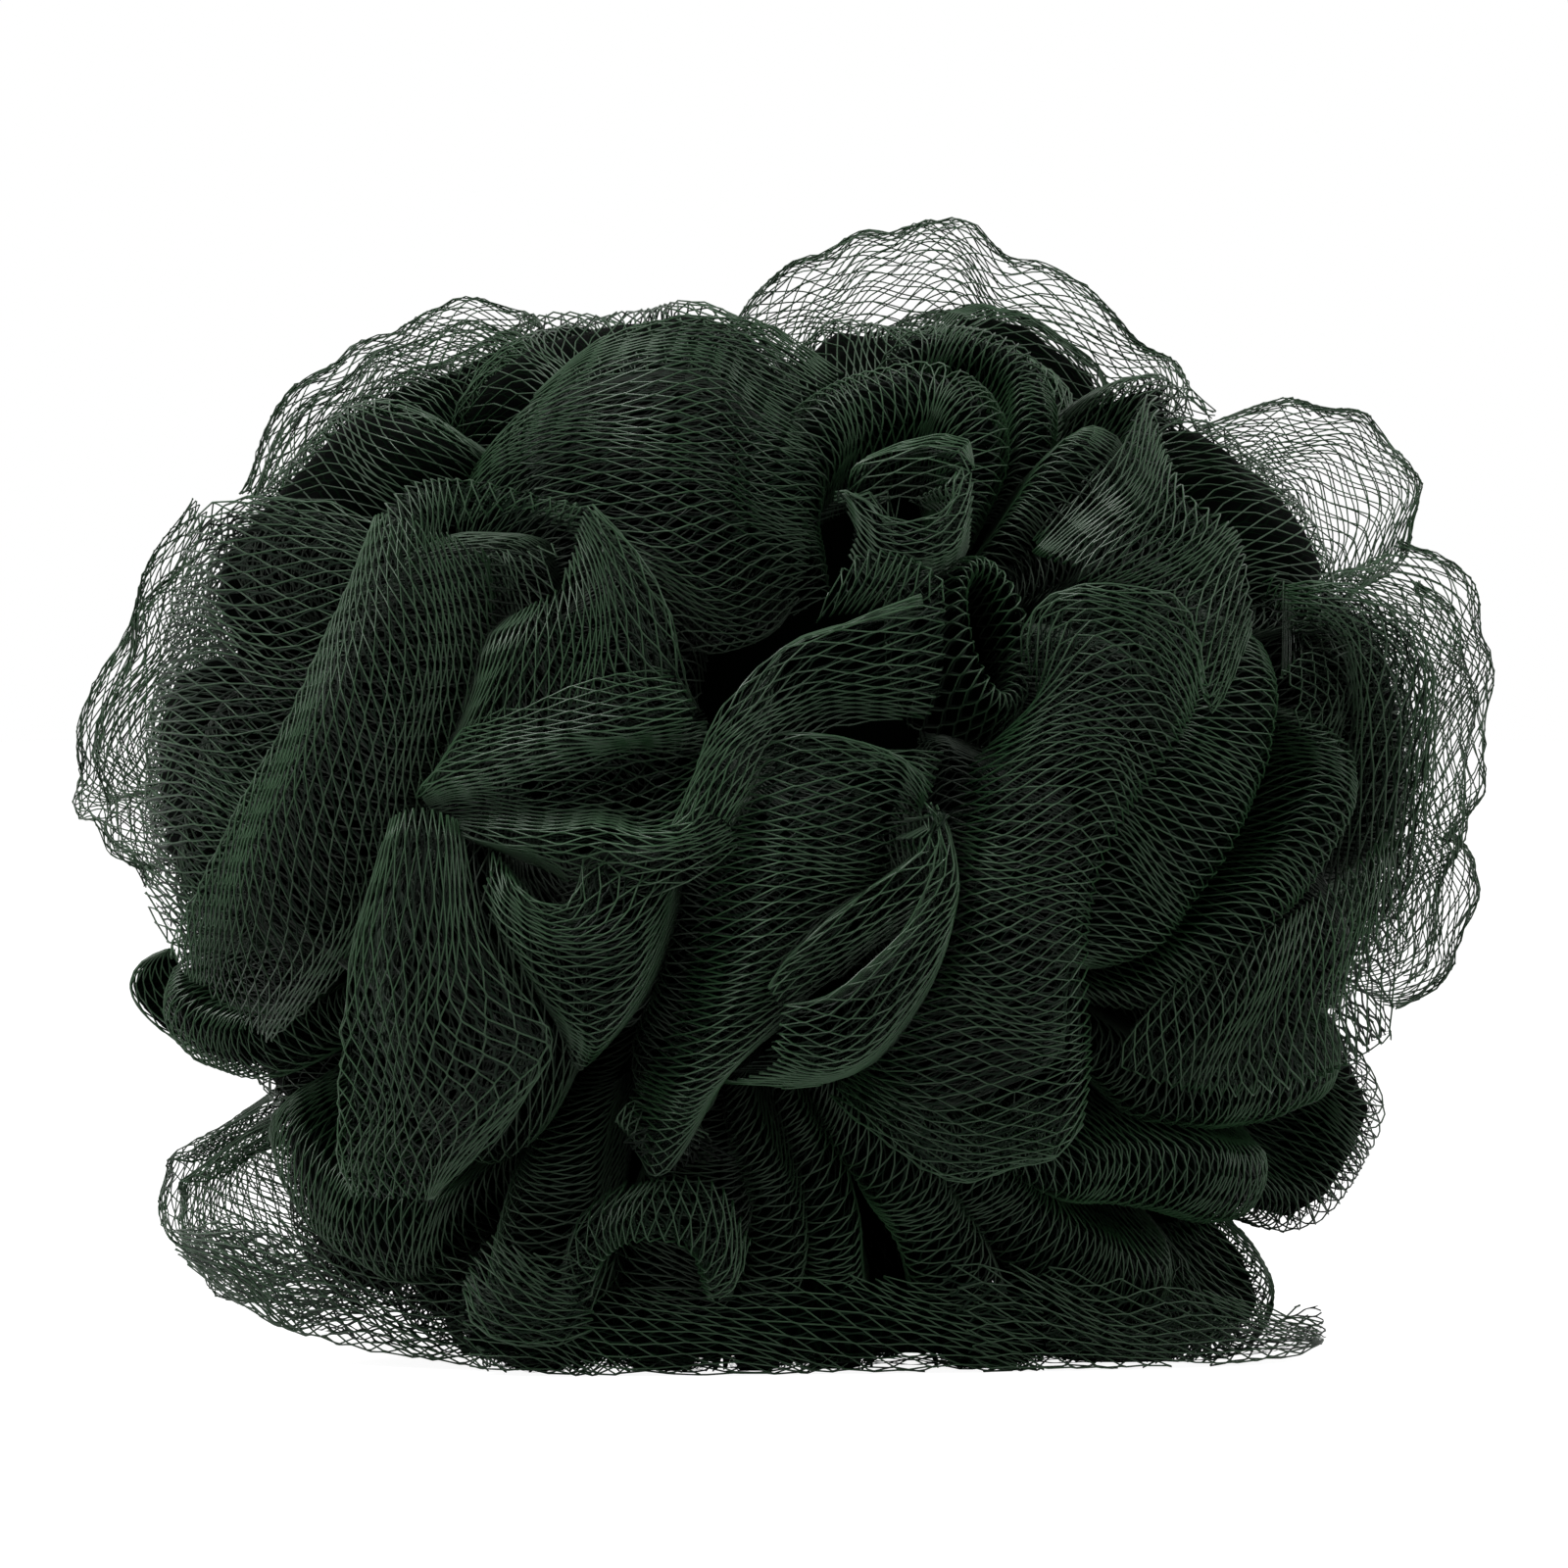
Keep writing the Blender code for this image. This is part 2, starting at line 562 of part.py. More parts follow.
def shell_radius(direction):
    """How far the pouf's outer ellipsoid is from its middle in that direction."""
    unit = direction.normalized()
    scaled = Vector((unit.x / WIDTH, unit.y / DEPTH, unit.z / HEIGHT)) * 2
    return 1 / scaled.length


def paint(thing, name, colour):
    """Gives the piece its plastic."""
    material = bpy.data.materials.new(name)
    material.use_nodes = True
    shader = material.node_tree.nodes["Principled BSDF"]
    shader.inputs["Base Color"].default_value = colour
    shader.inputs["Roughness"].default_value = 0.45
    shader.inputs["Metallic"].default_value = 0.0
    thing.data.materials.clear()
    thing.data.materials.append(material)


def main():
    """Builds the netting and the tie."""
    for thing in list(bpy.data.objects):
        bpy.data.objects.remove(thing)
    k = pixel_size()
    netting = dome("netting", -1)
    pieces = [dome("back_dome", 1)]
    for name, ridge in FRONT_FOLDS.items():
        points = [(*from_photo(a, d, out), left * k, right * k) for a, d, out, left, right in ridge]
        pieces.append(fold(name, points))
    for name, (a, d, out, length, width, turn) in FRONT_CURLS.items():
        pieces.append(curl(name, from_photo(a, d, out), length * k, width * k, turn))
    pieces += ruled_folds()
    pieces += seat_folds()
    for name, (rim, root) in FRILLS.items():
        pieces.append(frill(name, [tuple(from_photo(*point)) for point in rim], from_photo(*root)))
    combine(netting, "UNION", pieces)
    far = 2 * WIDTH
    floor = box("floor", (-far, -far, -far), (far, far, 0.0))
    combine(netting, "DIFFERENCE", [parting(), floor])
    keep_outer_body(netting)
    centre_tie = tie()
    for thing in (netting, centre_tie):
        thing.data.transform(Matrix.Translation((0.0, SET_BACK, 0.0)))
    paint(netting, "green_net", NET_GREEN)
    paint(centre_tie, "green_cord", TIE_GREEN)


main()
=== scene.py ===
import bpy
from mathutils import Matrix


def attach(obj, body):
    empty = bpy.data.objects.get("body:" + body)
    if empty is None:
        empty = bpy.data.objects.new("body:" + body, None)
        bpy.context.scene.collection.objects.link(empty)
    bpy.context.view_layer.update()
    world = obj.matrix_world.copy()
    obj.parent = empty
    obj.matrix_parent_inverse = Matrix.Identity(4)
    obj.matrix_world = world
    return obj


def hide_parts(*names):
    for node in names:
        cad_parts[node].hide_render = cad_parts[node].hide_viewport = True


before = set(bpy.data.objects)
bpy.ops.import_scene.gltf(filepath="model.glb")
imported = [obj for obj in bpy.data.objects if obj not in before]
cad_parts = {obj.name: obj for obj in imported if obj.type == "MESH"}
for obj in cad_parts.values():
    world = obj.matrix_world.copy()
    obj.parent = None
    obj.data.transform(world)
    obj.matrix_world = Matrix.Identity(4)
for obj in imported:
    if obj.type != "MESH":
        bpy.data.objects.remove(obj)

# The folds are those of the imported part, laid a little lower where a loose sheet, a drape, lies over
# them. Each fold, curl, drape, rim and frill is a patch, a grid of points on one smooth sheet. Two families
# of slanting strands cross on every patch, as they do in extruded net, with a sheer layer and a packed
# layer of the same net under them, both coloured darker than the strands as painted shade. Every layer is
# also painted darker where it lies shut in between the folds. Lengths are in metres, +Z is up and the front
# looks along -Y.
"""Looks of the bath pouf: its netting laid strand by strand over the folds, plus stage and lights.

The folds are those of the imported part, laid a little lower where a loose sheet, a drape, lies over
them. Each fold, curl, drape, rim and frill is a patch, a grid of points on one smooth sheet. Two
families of slanting strands cross on every patch, as they do in extruded net, with a sheer layer and
a dark, packed layer of the same net under them. Lengths are in metres, +Z is up and the front looks
along -Y.
"""

import logging
import math
import random
from dataclasses import dataclass, field, replace
from enum import Enum

import bpy
import numpy as np
from mathutils import Vector
from mathutils.bvhtree import BVHTree

logging.basicConfig(level=logging.INFO, format="%(message)s")
LOG = logging.getLogger("bath_pouf")
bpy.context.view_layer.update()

# Overall size of the pouf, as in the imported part.
WIDTH = 0.140
DEPTH = 0.118
HEIGHT = 0.111
SET_BACK = np.array([0.0, 0.004, 0.0])
CENTRE = np.array([0.0, 0.0, HEIGHT / 2]) + SET_BACK

# The photograph's pixels, in its 1600 x 1600 frame, that the front folds are read from.
PHOTO_SIZE = 1600
PHOTO_LEFT, PHOTO_RIGHT = 70, 1530
PHOTO_TOP, PHOTO_BASE = 220, 1381
PIXEL = WIDTH / (PHOTO_RIGHT - PHOTO_LEFT)

# The heart between the folds, as a share of the pouf's size. Its near-black colour is painted shade.
HEART_SHARE = 0.74
HEART_SEGMENTS = 64
HEART_RINGS = 32

# Folds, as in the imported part: how deep their skirts run, how round they are, how they dive at their
# ends, and the spacing of their grid points.
FOLD_DEPTH = 0.024
FOLD_FOOT_SHARE = 0.7
FOLD_ROUNDNESS = 0.75
FOLD_DIVE = 0.010
FOLD_END_LIFT = 0.12
FOLD_ROW = 0.0011
FOLD_COLUMN = 0.0010
FOLD_LOOK = 0.02
FOLD_MOST_DROP = 0.8
ARCH_STEPS = 60
ARCH_DETAIL = 400

# Curls: their rim, their pocket, how their outside flares, and their grid.
CURL_RIM = 0.0009
CURL_POCKET = 0.011
CURL_FLARE = 0.0035
CURL_POCKET_SHARE = 0.55
CURL_SHOWN_SHARE = 0.8
CURL_ROWS = 72
CURL_COLUMNS = 44

# Folds laid by rule at the back and the sides: their number, sizes, lean and places, with the bounds
# of what is drawn by chance.
BACK_FOLDS = 16
BACK_FOLD_HALF_LENGTH = 0.027
BACK_FOLD_HALF_WIDTH = 0.0098
BACK_SPREAD = 0.92
BACK_SEED = 11
BACK_LEAN = 1.2
BACK_LENGTHS = (0.7, 1.1)
RULED_REACH = (0.88, 0.97)
RULED_WIDTHS = (0.85, 1.2)
RULED_SWAY = 0.2
SIDE_FOLDS = 10
SIDE_PLACE = -0.32
SIDE_STRAY = 0.08
SIDE_LEAN = 0.5
SIDE_LENGTHS = (0.6, 0.8)

# The side fold behind the top frill, and how far out from the middle it is left.
LOW_SIDE_FOLD = 2
LOW_SIDE_FOLD_SHARE = 0.90

# The seat: the lowest folds, which the pouf's weight presses level.
SEAT_ROWS = (-0.020, 0.022)
SEAT_COLUMNS = (-0.027, 0.004, 0.035)
SEAT_HALF_LENGTH = 0.013
SEAT_HALF_WIDTH = 0.0075
SEAT_LEAN = 0.35
SEAT_PRESS = 0.0014

# Drapes: the spacing of their grid points, how deep their layers lie, and the tight turn at their
# edges, in degrees round it and in metres past it, which shrinks where the sheet is narrow.
DRAPE_STEP = 0.0011
DRAPE_DEPTH = 0.0020
TUCK_RADIUS = 0.0006
TUCK_FULL_WIDTH = 0.010
TUCK_LEAST = 0.1
TUCK_TURNS = (30, 60, 90, 120, 150, 180)
TUCK_STEPS = (0.001, 0.002, 0.0035, 0.005, 0.0065)

# Soft waves of the sheets: how much the slow and the quick ones add, and their most height.
SLOW_WAVES, QUICK_WAVES = 0.65, 0.35
FAINT_WAVES = 0.0003
BACK_WAVES = 0.0008

# Frills: their grid, cells and strands, the gap between their two layers and where it is reached,
# and the rim's small scallops.
FRILL_ROW = 0.0010
FRILL_COLUMNS = 44
FRILL_CELL_LENGTH = 0.0036
FRILL_STRAND_RADIUS = 0.00008
FRILL_GAP = 0.0011
FRILL_GAP_DEPTH = 0.002
FRILL_SCALLOP = 0.0005
FRILL_WAVES = 0.0004

# The bunched edge of a frill: its half width, and the turn and pitch of its cells.
FRILL_EDGE = 0.0010
FRILL_EDGE_GRAIN = 86.0
FRILL_EDGE_CELL_WIDTH = 0.0006

# Rims: how deep their sides run, how their cells are squeezed, and how often they are set on the
# folds, in pixels.
RIM_DEPTH = 0.006
RIM_CELL_WIDTH = 0.00075
RIM_STATION = 22

# The net: pitch across a cell, length of a cell, a strand's radius and sides, how far down a fold's
# skirt it is laid, and its coarser pitch at the back.
CELL_WIDTH = 0.00112
CELL_LENGTH = 0.0050
STRAND_RADIUS = 0.0001
STRAND_SIDES = 3
SKIRT_SHOWN = 0.010
BACK_CELL_WIDTH = 0.0013

# The drawn net of the layers: how strongly its strands run side by side before they cross over, and
# a strand's width as a share of a cell.
CELL_WAVE = 0.07
DRAWN_STRAND_WIDTH = 0.18

# How the net bunches up and wanders: the most that it moves strands aside, and over which lengths.
BUNCHING = 0.0009
BUNCH_LENGTH = 0.0021
WANDER = 0.0006
WANDER_LENGTH = 0.0034

# Where a strand turns within half a cell: (share of the way, share of the crossing over).
TURNS = ((0.12, 0.05), (0.88, 0.95))
STRAIGHT_TURNS = ((0.0, 0.0), (0.5, 0.5))
FINE_TURNS = ((0.0, 0.0), (0.18, 0.08), (0.5, 0.5), (0.82, 0.92))

# Coarse strands keep a point for each SEGMENT_BEND degrees or SEGMENT_LENGTH metres.
SEGMENT_BEND = 18.0
SEGMENT_LENGTH = 0.0032
FOLD_COARSENESS = 1.0
HIDDEN_COARSENESS = 2.5

# The inner layers: how coarse they are, and how far under the strands they lie.
INNER_STRIDE = 2
LAYER_DEPTH = 0.0022
LAYER_SHARE = 0.5
CURL_LAYER_DEPTH = 0.0009
HIDDEN_DEPTH_SHARE = 0.6

# The sheer layer between the strands and the innermost one, and how its cells are turned, in degrees.
SHEER_SHARE = 0.42
SHEER_TURN = 24.0

# A strand is laid only where it can be seen: where this many of the ways out are clear.
LOOK_TILTS = (0.6, 1.1)
LOOK_TURNS = 6
LOOK_REACH = 0.05
LEAST_CLEAR_WAYS = 2

# How open each place lies to the light, which is painted into the colours as shade: measured at every
# few grid points, from a little above it.
OPENNESS_STRIDE = 4
OPENNESS_LIFT = 0.0012
OPENNESS_REACH = 0.03

# How the plastics vary: the contrast of their broad patches, how much of the mix those are, how much
# smaller the fine patches are, what counts as deep and as open for the painted shade, and how dark the
# painted shade makes the deep and how much rougher it gets there.
PATCH_CONTRAST = (0.3, 0.7)
BROAD_SHARE = 0.65
FINE_SCALE = 14.0
SHADE_RANGE = (0.15, 0.95)
DEEP_LIGHT = 0.20
DEEP_DULLNESS = 0.4

# Plain white and black colours.
WHITE = (1.0, 1.0, 1.0, 1.0)
BLACK = (0.0, 0.0, 0.0, 1.0)

# A layer of net: points, four-sided faces, other faces, places on the flat net and openness, which
# paints shade into its colour.
Layer = tuple[np.ndarray, np.ndarray, list, np.ndarray, np.ndarray]


class Region(Enum):
    """Which part of the pouf a fold belongs to. Each region is one piece of net."""

    LEFT = "left"
    CROWN = "crown"
    CENTRE = "centre"
    RIGHT = "right"
    FOOT = "foot"
    BACK = "back"
    SIDES = "sides"
    FRILLS = "frills"


def photo_point(across: float, down: float, out: float) -> np.ndarray:
    """Gives the point seen at a pixel.

    Args:
        across: pixels from the photograph's left edge.
        down: pixels from its top edge.
        out: how far the point stands forward, as a share of the half depth.

    Returns:
        The point in metres.
    """
    x = (across - (PHOTO_LEFT + PHOTO_RIGHT) / 2) * PIXEL
    z = (PHOTO_BASE - down) * HEIGHT / (PHOTO_BASE - PHOTO_TOP)
    return np.array([x, -out * DEPTH / 2, z]) + SET_BACK


def smooth_run(points: np.ndarray, shares: np.ndarray) -> np.ndarray:
    """Follows a smooth curve through points.

    Args:
        points: the points, one a row, with any number of values in a row.
        shares: places along the run, from 0 to 1.

    Returns:
        One row of values for each place.
    """
    spans = len(points) - 1
    place = np.clip(shares, 0.0, 1.0) * spans
    first = np.minimum(place.astype(int), spans - 1)
    t = (place - first)[:, None]
    before = points[np.maximum(first - 1, 0)]
    here, there = points[first], points[first + 1]
    after = points[np.minimum(first + 2, spans)]
    return 0.5 * (2 * here + (there - before) * t + (2 * before - 5 * here + 4 * there - after) * t ** 2
                  + (3 * here - before - 3 * there + after) * t ** 3)


def unit(vectors: np.ndarray) -> np.ndarray:
    """Gives each vector the length 1. Vectors lie along the last axis."""
    return vectors / np.maximum(np.linalg.norm(vectors, axis=-1, keepdims=True), 1e-12)


def ruffle(points: np.ndarray, amount: float) -> np.ndarray:
    """Moves points in and out by soft waves, as hand-gathered net has.

    Args:
        points: points with x, y and z along the last axis.
        amount: the most that a wave moves a point.

    Returns:
        How far each point moves along its own normal.
    """
    x, y, z = points[..., 0] * 1000, points[..., 1] * 1000, points[..., 2] * 1000
    slow = np.sin(0.31 * x + 0.17 * y + 0.9) * np.sin(0.27 * z - 0.21 * y + 2.1)
    quick = np.sin(0.62 * x - 0.38 * z + 0.4) * np.sin(0.55 * y + 0.47 * z + 1.3)
    return amount * (SLOW_WAVES * slow + QUICK_WAVES * quick)


@dataclass
class Patch:
    """One smooth sheet of net as a grid of points.

    The first grid axis runs along the ridge or round the mouth, and the second from one foot over the
    ridge to the other foot.
    """

    name: str
    points: np.ndarray
    length: float
    reach: float
    shown: float
    grain: float = 0.0
    closed: bool = False
    inner: bool = True
    cell_width: float = CELL_WIDTH
    cell_length: float = CELL_LENGTH
    radius: float = STRAND_RADIUS
    coarse: float = 0.0
    fine: bool = False
    sheer: bool = True
    depth: float = LAYER_DEPTH
    openness: np.ndarray | None = None

    def normals(self) -> np.ndarray:
        """Outward unit normals at the grid's points."""
        if self.closed:
            ahead = np.concatenate([self.points[1:], self.points[1:2]])
            behind = np.concatenate([self.points[-2:-1], self.points[:-1]])
            along = ahead - behind
        else:
            along = np.gradient(self.points, axis=0)
        across = np.gradient(self.points, axis=1)
        return unit(np.cross(across, along))

    def sample(self, grid: np.ndarray, u: np.ndarray, v: np.ndarray) -> np.ndarray:
        """Reads a grid between its points.

        Args:
            grid: values at the grid's points.
            u: metres along the ridge.
            v: metres from the ridge, negative on the left.

        Returns:
            One row of values for each place.
        """
        rows, columns = grid.shape[0] - 1, grid.shape[1] - 1
        if self.closed:
            u = np.mod(u, self.length)
        i = np.clip(u / self.length * rows, 0, rows - 1e-9)
        j = np.clip((v + self.reach) / (2 * self.reach) * columns, 0, columns - 1e-9)
        i0, j0 = i.astype(int), j.astype(int)
        di, dj = (i - i0)[:, None], (j - j0)[:, None]
        low = grid[i0, j0] * (1 - dj) + grid[i0, j0 + 1] * dj
        high = grid[i0 + 1, j0] * (1 - dj) + grid[i0 + 1, j0 + 1] * dj
        return low * (1 - di) + high * di


def settled(patch: Patch, amount: float) -> Patch:
    """Gives a patch its soft waves.

    Args:
        patch: the sheet.
        amount: the most that a wave moves a point.

    Returns:
        The same patch, changed.
    """
    patch.points = patch.points + patch.normals() * ruffle(patch.points, amount)[..., None]
    return patch


@dataclass(frozen=True)
class Fold:
    """A rounded fold that follows a ridge line and dives in at both ends.

    Each point of the ridge is (pixel across, pixel down, out, left, right), with the half widths in
    pixels. grain turns the net's cells away from lying over the ridge, in degrees.
    """

    name: str
    region: Region
    ridge: tuple
    grain: float = 0.0
    square: float = 2.3
    waves: float = 0.0006

    def patch(self) -> Patch:
        """The fold's sheet."""
        rows = [(*photo_point(a, d, out), left * PIXEL, right * PIXEL)
                for a, d, out, left, right in self.ridge]
        return fold_patch(self.name, np.array(rows), self.grain, self.waves, self.square)


def arch_profile(square: float, aspect: float) -> tuple[np.ndarray, np.ndarray, float]:
    """Follows one side of an arch from its top to where its skirt starts, in even steps.

    Args:
        square: 2 for an ellipse, more for a flatter top with tighter shoulders.
        aspect: the arch's drop as a share of its half width.

    Returns:
        Shares of the half width and of the drop at each step, and the side's length as a share of
        the half width.
    """
    turn = np.linspace(0, math.pi / 2, ARCH_DETAIL)
    aside, down = np.sin(turn) ** (2 / square), 1 - np.cos(turn) ** (2 / square)
    pieces = np.hypot(np.diff(aside), aspect * np.diff(down))
    measured = np.concatenate([[0], np.cumsum(pieces)])
    even = np.linspace(0, measured[-1], ARCH_STEPS)
    return np.interp(even, measured, aside), np.interp(even, measured, down), float(measured[-1])


def fold_patch(name: str, ridge: np.ndarray, grain: float, waves: float, square: float = 2.3,
               depth: float = FOLD_DEPTH) -> Patch:
    """Lays a sheet over a ridge line.

    Args:
        name: the fold's name.
        ridge: rows of x, y, z, left half width and right half width, in metres.
        grain: the turn of the cells, in degrees.
        waves: the height of its soft waves.
        square: how square its shoulders are, 2 being an ellipse.
        depth: how far its skirts run down.

    Returns:
        The sheet.
    """
    run = float(np.linalg.norm(np.diff(ridge[:, :3], axis=0), axis=1).sum())
    rows = max(16, int(run / FOLD_ROW))
    share = (1 - np.cos(np.pi * np.arange(rows + 1) / rows)) / 2
    line = smooth_run(ridge, share)
    ahead = smooth_run(ridge, share + FOLD_LOOK)[:, :3]
    behind = smooth_run(ridge, share - FOLD_LOOK)[:, :3]
    top = line[:, :3]
    outward = unit(top - CENTRE)
    side = unit(np.cross(ahead - behind, outward))
    missing = 1.0 - np.minimum(np.minimum(share, 1 - share) * run / FOLD_DIVE, 1.0)
    lift = FOLD_END_LIFT + (1 - FOLD_END_LIFT) * np.sqrt(1 - missing ** 2)
    height = depth * lift
    foot = top - outward * depth
    crest = foot + outward * height[:, None]
    scale = 0.5 + 0.5 * lift
    left, right = line[:, 3] * scale, line[:, 4] * scale
    widest = float(max(line[:, 3].max(), line[:, 4].max()))
    aside_shares, down_shares, arch_share = arch_profile(square, FOLD_ROUNDNESS)
    steps = np.linspace(0, 1, ARCH_STEPS)
    arch = widest * arch_share
    reach = arch + max(depth - widest * FOLD_ROUNDNESS, depth / 3)
    columns = 2 * max(14, int(reach / FOLD_COLUMN))
    v = np.linspace(-reach, reach, columns + 1)
    grid = np.zeros((rows + 1, columns + 1, 3))
    for j, place in enumerate(v):
        width = left if place < 0 else right
        foot_side = (line[:, 3] if place < 0 else line[:, 4]) * FOLD_FOOT_SHARE
        drop = np.minimum(width * FOLD_ROUNDNESS, height * FOLD_MOST_DROP)
        local_arch = width * arch_share
        turn = np.minimum(abs(place) / local_arch, 1.0)
        down_skirt = np.clip((abs(place) - local_arch) / (reach - local_arch), 0.0, 1.0)
        sideways = (width * np.interp(turn, steps, aside_shares) * (1 - down_skirt)
                    + foot_side * down_skirt)
        down = drop * np.interp(turn, steps, down_shares) * (1 - down_skirt) + height * down_skirt
        sign = -1.0 if place < 0 else 1.0
        grid[:, j] = crest + side * (sign * sideways)[:, None] - outward * down[:, None]
    measured = np.concatenate([[0], np.cumsum(np.linalg.norm(np.diff(crest, axis=0), axis=1))])
    length = float(measured[-1])
    even = np.linspace(0, length, rows + 1)
    flat = grid.reshape(rows + 1, -1)
    spaced = np.stack([np.interp(even, measured, flat[:, k]) for k in range(flat.shape[1])], axis=1)
    narrowest = float(min(line[:, 3].min(), line[:, 4].min()))
    patch = Patch(name, spaced.reshape(grid.shape), length, reach, min(arch + SKIRT_SHOWN, reach),
                  grain, coarse=FOLD_COARSENESS, depth=min(LAYER_DEPTH, LAYER_SHARE * narrowest))
    return settled(patch, waves)


@dataclass(frozen=True)
class Curl:
    """Net folded back on itself round an open mouth that faces outward.

    The mouth has its middle, (pixel across, pixel down, out), its half length and half width in
    pixels, and its turn from upright, clockwise, in degrees.
    """

    name: str
    region: Region
    middle: tuple
    half_length: float
    half_width: float
    turn: float

    def patch(self) -> Patch:
        """The curl's sheet, from the bottom of its pocket over the rim and down its outside."""
        middle = photo_point(*self.middle)
        outward = unit(middle - CENTRE)
        across = -unit(np.cross([0.0, 0.0, 1.0], outward))
        upward = -unit(np.cross(across, outward))
        upward = upward if upward[2] > 0 else -upward
        angle = math.radians(self.turn)
        long_way = upward * math.cos(angle) + across * math.sin(angle)
        wide_way = across * math.cos(angle) - upward * math.sin(angle)
        half_length, half_width = self.half_length * PIXEL, self.half_width * PIXEL
        pocket = min(half_width * CURL_POCKET_SHARE, CURL_POCKET)
        profile = np.array([(-pocket, CURL_POCKET), (-CURL_RIM * 1.2, CURL_RIM * 2.4),
                            (-CURL_RIM * 0.8, CURL_RIM * 0.7), (0, 0), (CURL_RIM * 0.9, CURL_RIM * 0.6),
                            (CURL_RIM * 1.5, CURL_RIM * 2.4), (CURL_FLARE, FOLD_DEPTH / 2),
                            (0, FOLD_DEPTH)])
        measured = np.concatenate([[0], np.cumsum(np.linalg.norm(np.diff(profile, axis=0), axis=1))])
        reach = float(measured[-1]) / 2
        place = np.linspace(0, measured[-1], CURL_COLUMNS + 1)
        grow, down = np.interp(place, measured, profile[:, 0]), np.interp(place, measured, profile[:, 1])
        around = np.linspace(0, 2 * math.pi, CURL_ROWS + 1)
        round_long = (half_length + grow)[None, :] * np.cos(around)[:, None]
        round_wide = (half_width + grow)[None, :] * np.sin(around)[:, None]
        grid = (middle - outward * down[None, :, None] + long_way * round_long[..., None]
                + wide_way * round_wide[..., None])
        length = math.pi * (3 * (half_length + half_width)
                            - math.sqrt((3 * half_length + half_width) * (half_length + 3 * half_width)))
        patch = Patch(self.name, grid, length, reach, reach * CURL_SHOWN_SHARE, closed=True, fine=True,
                      depth=CURL_LAYER_DEPTH)
        if float(np.dot(patch.normals()[0, CURL_COLUMNS // 2], outward)) < 0:
            patch.points = patch.points[::-1]
        return settled(patch, FAINT_WAVES)


@dataclass(frozen=True)
class Drape:
    """A loose sheet of net led through guide lines, turned tightly back under itself at the first.

    Each guide is a run of (pixel across, pixel down, out), and all run the same way. ends tells
    whether the sheet turns under at its first and at its last guide, and backed whether an innermost
    layer, painted near black as shade, closes it.
    """

    name: str
    region: Region
    guides: tuple
    grain: float = 0.0
    ends: tuple = (True, False)
    cell_width: float = CELL_WIDTH
    backed: bool = False
    waves: float = FAINT_WAVES

    def patch(self) -> Patch:
        """The drape's sheet, tucks and all."""
        guides = [np.array([photo_point(*point) for point in guide]) for guide in self.guides]
        run = max(float(np.linalg.norm(np.diff(guide, axis=0), axis=1).sum()) for guide in guides)
        rows = max(16, int(run / DRAPE_STEP))
        share = np.linspace(0, 1, rows + 1)
        lines = np.stack([smooth_run(guide, share) for guide in guides])
        wide = float(np.linalg.norm(np.diff(lines, axis=0), axis=2).sum(axis=0).max())
        columns = max(12, int(wide / DRAPE_STEP))
        flat = smooth_run(lines.reshape(len(guides), -1), np.linspace(0, 1, columns + 1))
        sheet = flat.reshape(columns + 1, rows + 1, 3)
        size = np.linalg.norm(np.diff(sheet, axis=0), axis=2).sum(axis=0) / TUCK_FULL_WIDTH
        size = np.clip(size, TUCK_LEAST, 1.0)[:, None]
        strips = [sheet]
        if self.ends[0]:
            strips.insert(0, self.tuck(sheet[0], sheet[2], size)[::-1])
        if self.ends[1]:
            strips.append(self.tuck(sheet[-1], sheet[-3], size))
        grid = np.concatenate(strips).transpose(1, 0, 2)
        measured = np.linalg.norm(np.diff(grid, axis=1), axis=2).mean(axis=0)
        measured = np.concatenate([[0], np.cumsum(measured)])
        reach = float(measured[-1]) / 2
        even = np.linspace(0, measured[-1], 2 * max(12, int(reach / DRAPE_STEP)) + 1)
        place = np.interp(even, measured, np.arange(len(measured)))
        first = np.minimum(place.astype(int), len(measured) - 2)
        grid = (grid[:, first] * (1 - (place - first))[None, :, None]
                + grid[:, first + 1] * (place - first)[None, :, None])
        length = float(np.linalg.norm(np.diff(grid, axis=0), axis=2).sum(axis=0).mean())
        patch = Patch(self.name, grid, length, reach, reach, self.grain, inner=self.backed,
                      cell_width=self.cell_width, depth=DRAPE_DEPTH)
        middle = grid[rows // 2, grid.shape[1] // 2]
        if float(np.dot(patch.normals()[rows // 2, grid.shape[1] // 2], middle - CENTRE)) < 0:
            patch.points = patch.points[::-1]
        return settled(patch, self.waves)

    @staticmethod
    def tuck(edge: np.ndarray, inside: np.ndarray, size: np.ndarray) -> np.ndarray:
        """Turns a sheet under itself past an edge.

        Args:
            edge: the points of the edge.
            inside: points of the sheet a little way in from it.
            size: the tuck's size at each point, as a share of the usual.

        Returns:
            Lines of points, from just past the edge to the tuck's end.
        """
        along = unit(np.gradient(edge, axis=0))
        outward = unit(edge - CENTRE)
        away = unit(edge - inside)
        away = unit(away - along * (away * along).sum(axis=1)[:, None])
        under = -unit(outward - along * (outward * along).sum(axis=1)[:, None]
                      - away * (outward * away).sum(axis=1)[:, None])
        strips = []
        for turn in TUCK_TURNS:
            angle = math.radians(turn)
            turned = away * math.sin(angle) + under * (1 - math.cos(angle))
            strips.append(edge + TUCK_RADIUS * size * turned)
        for step in TUCK_STEPS:
            strips.append(strips[len(TUCK_TURNS) - 1] + unit(under - away * 0.5) * size * step)
        return np.stack(strips)


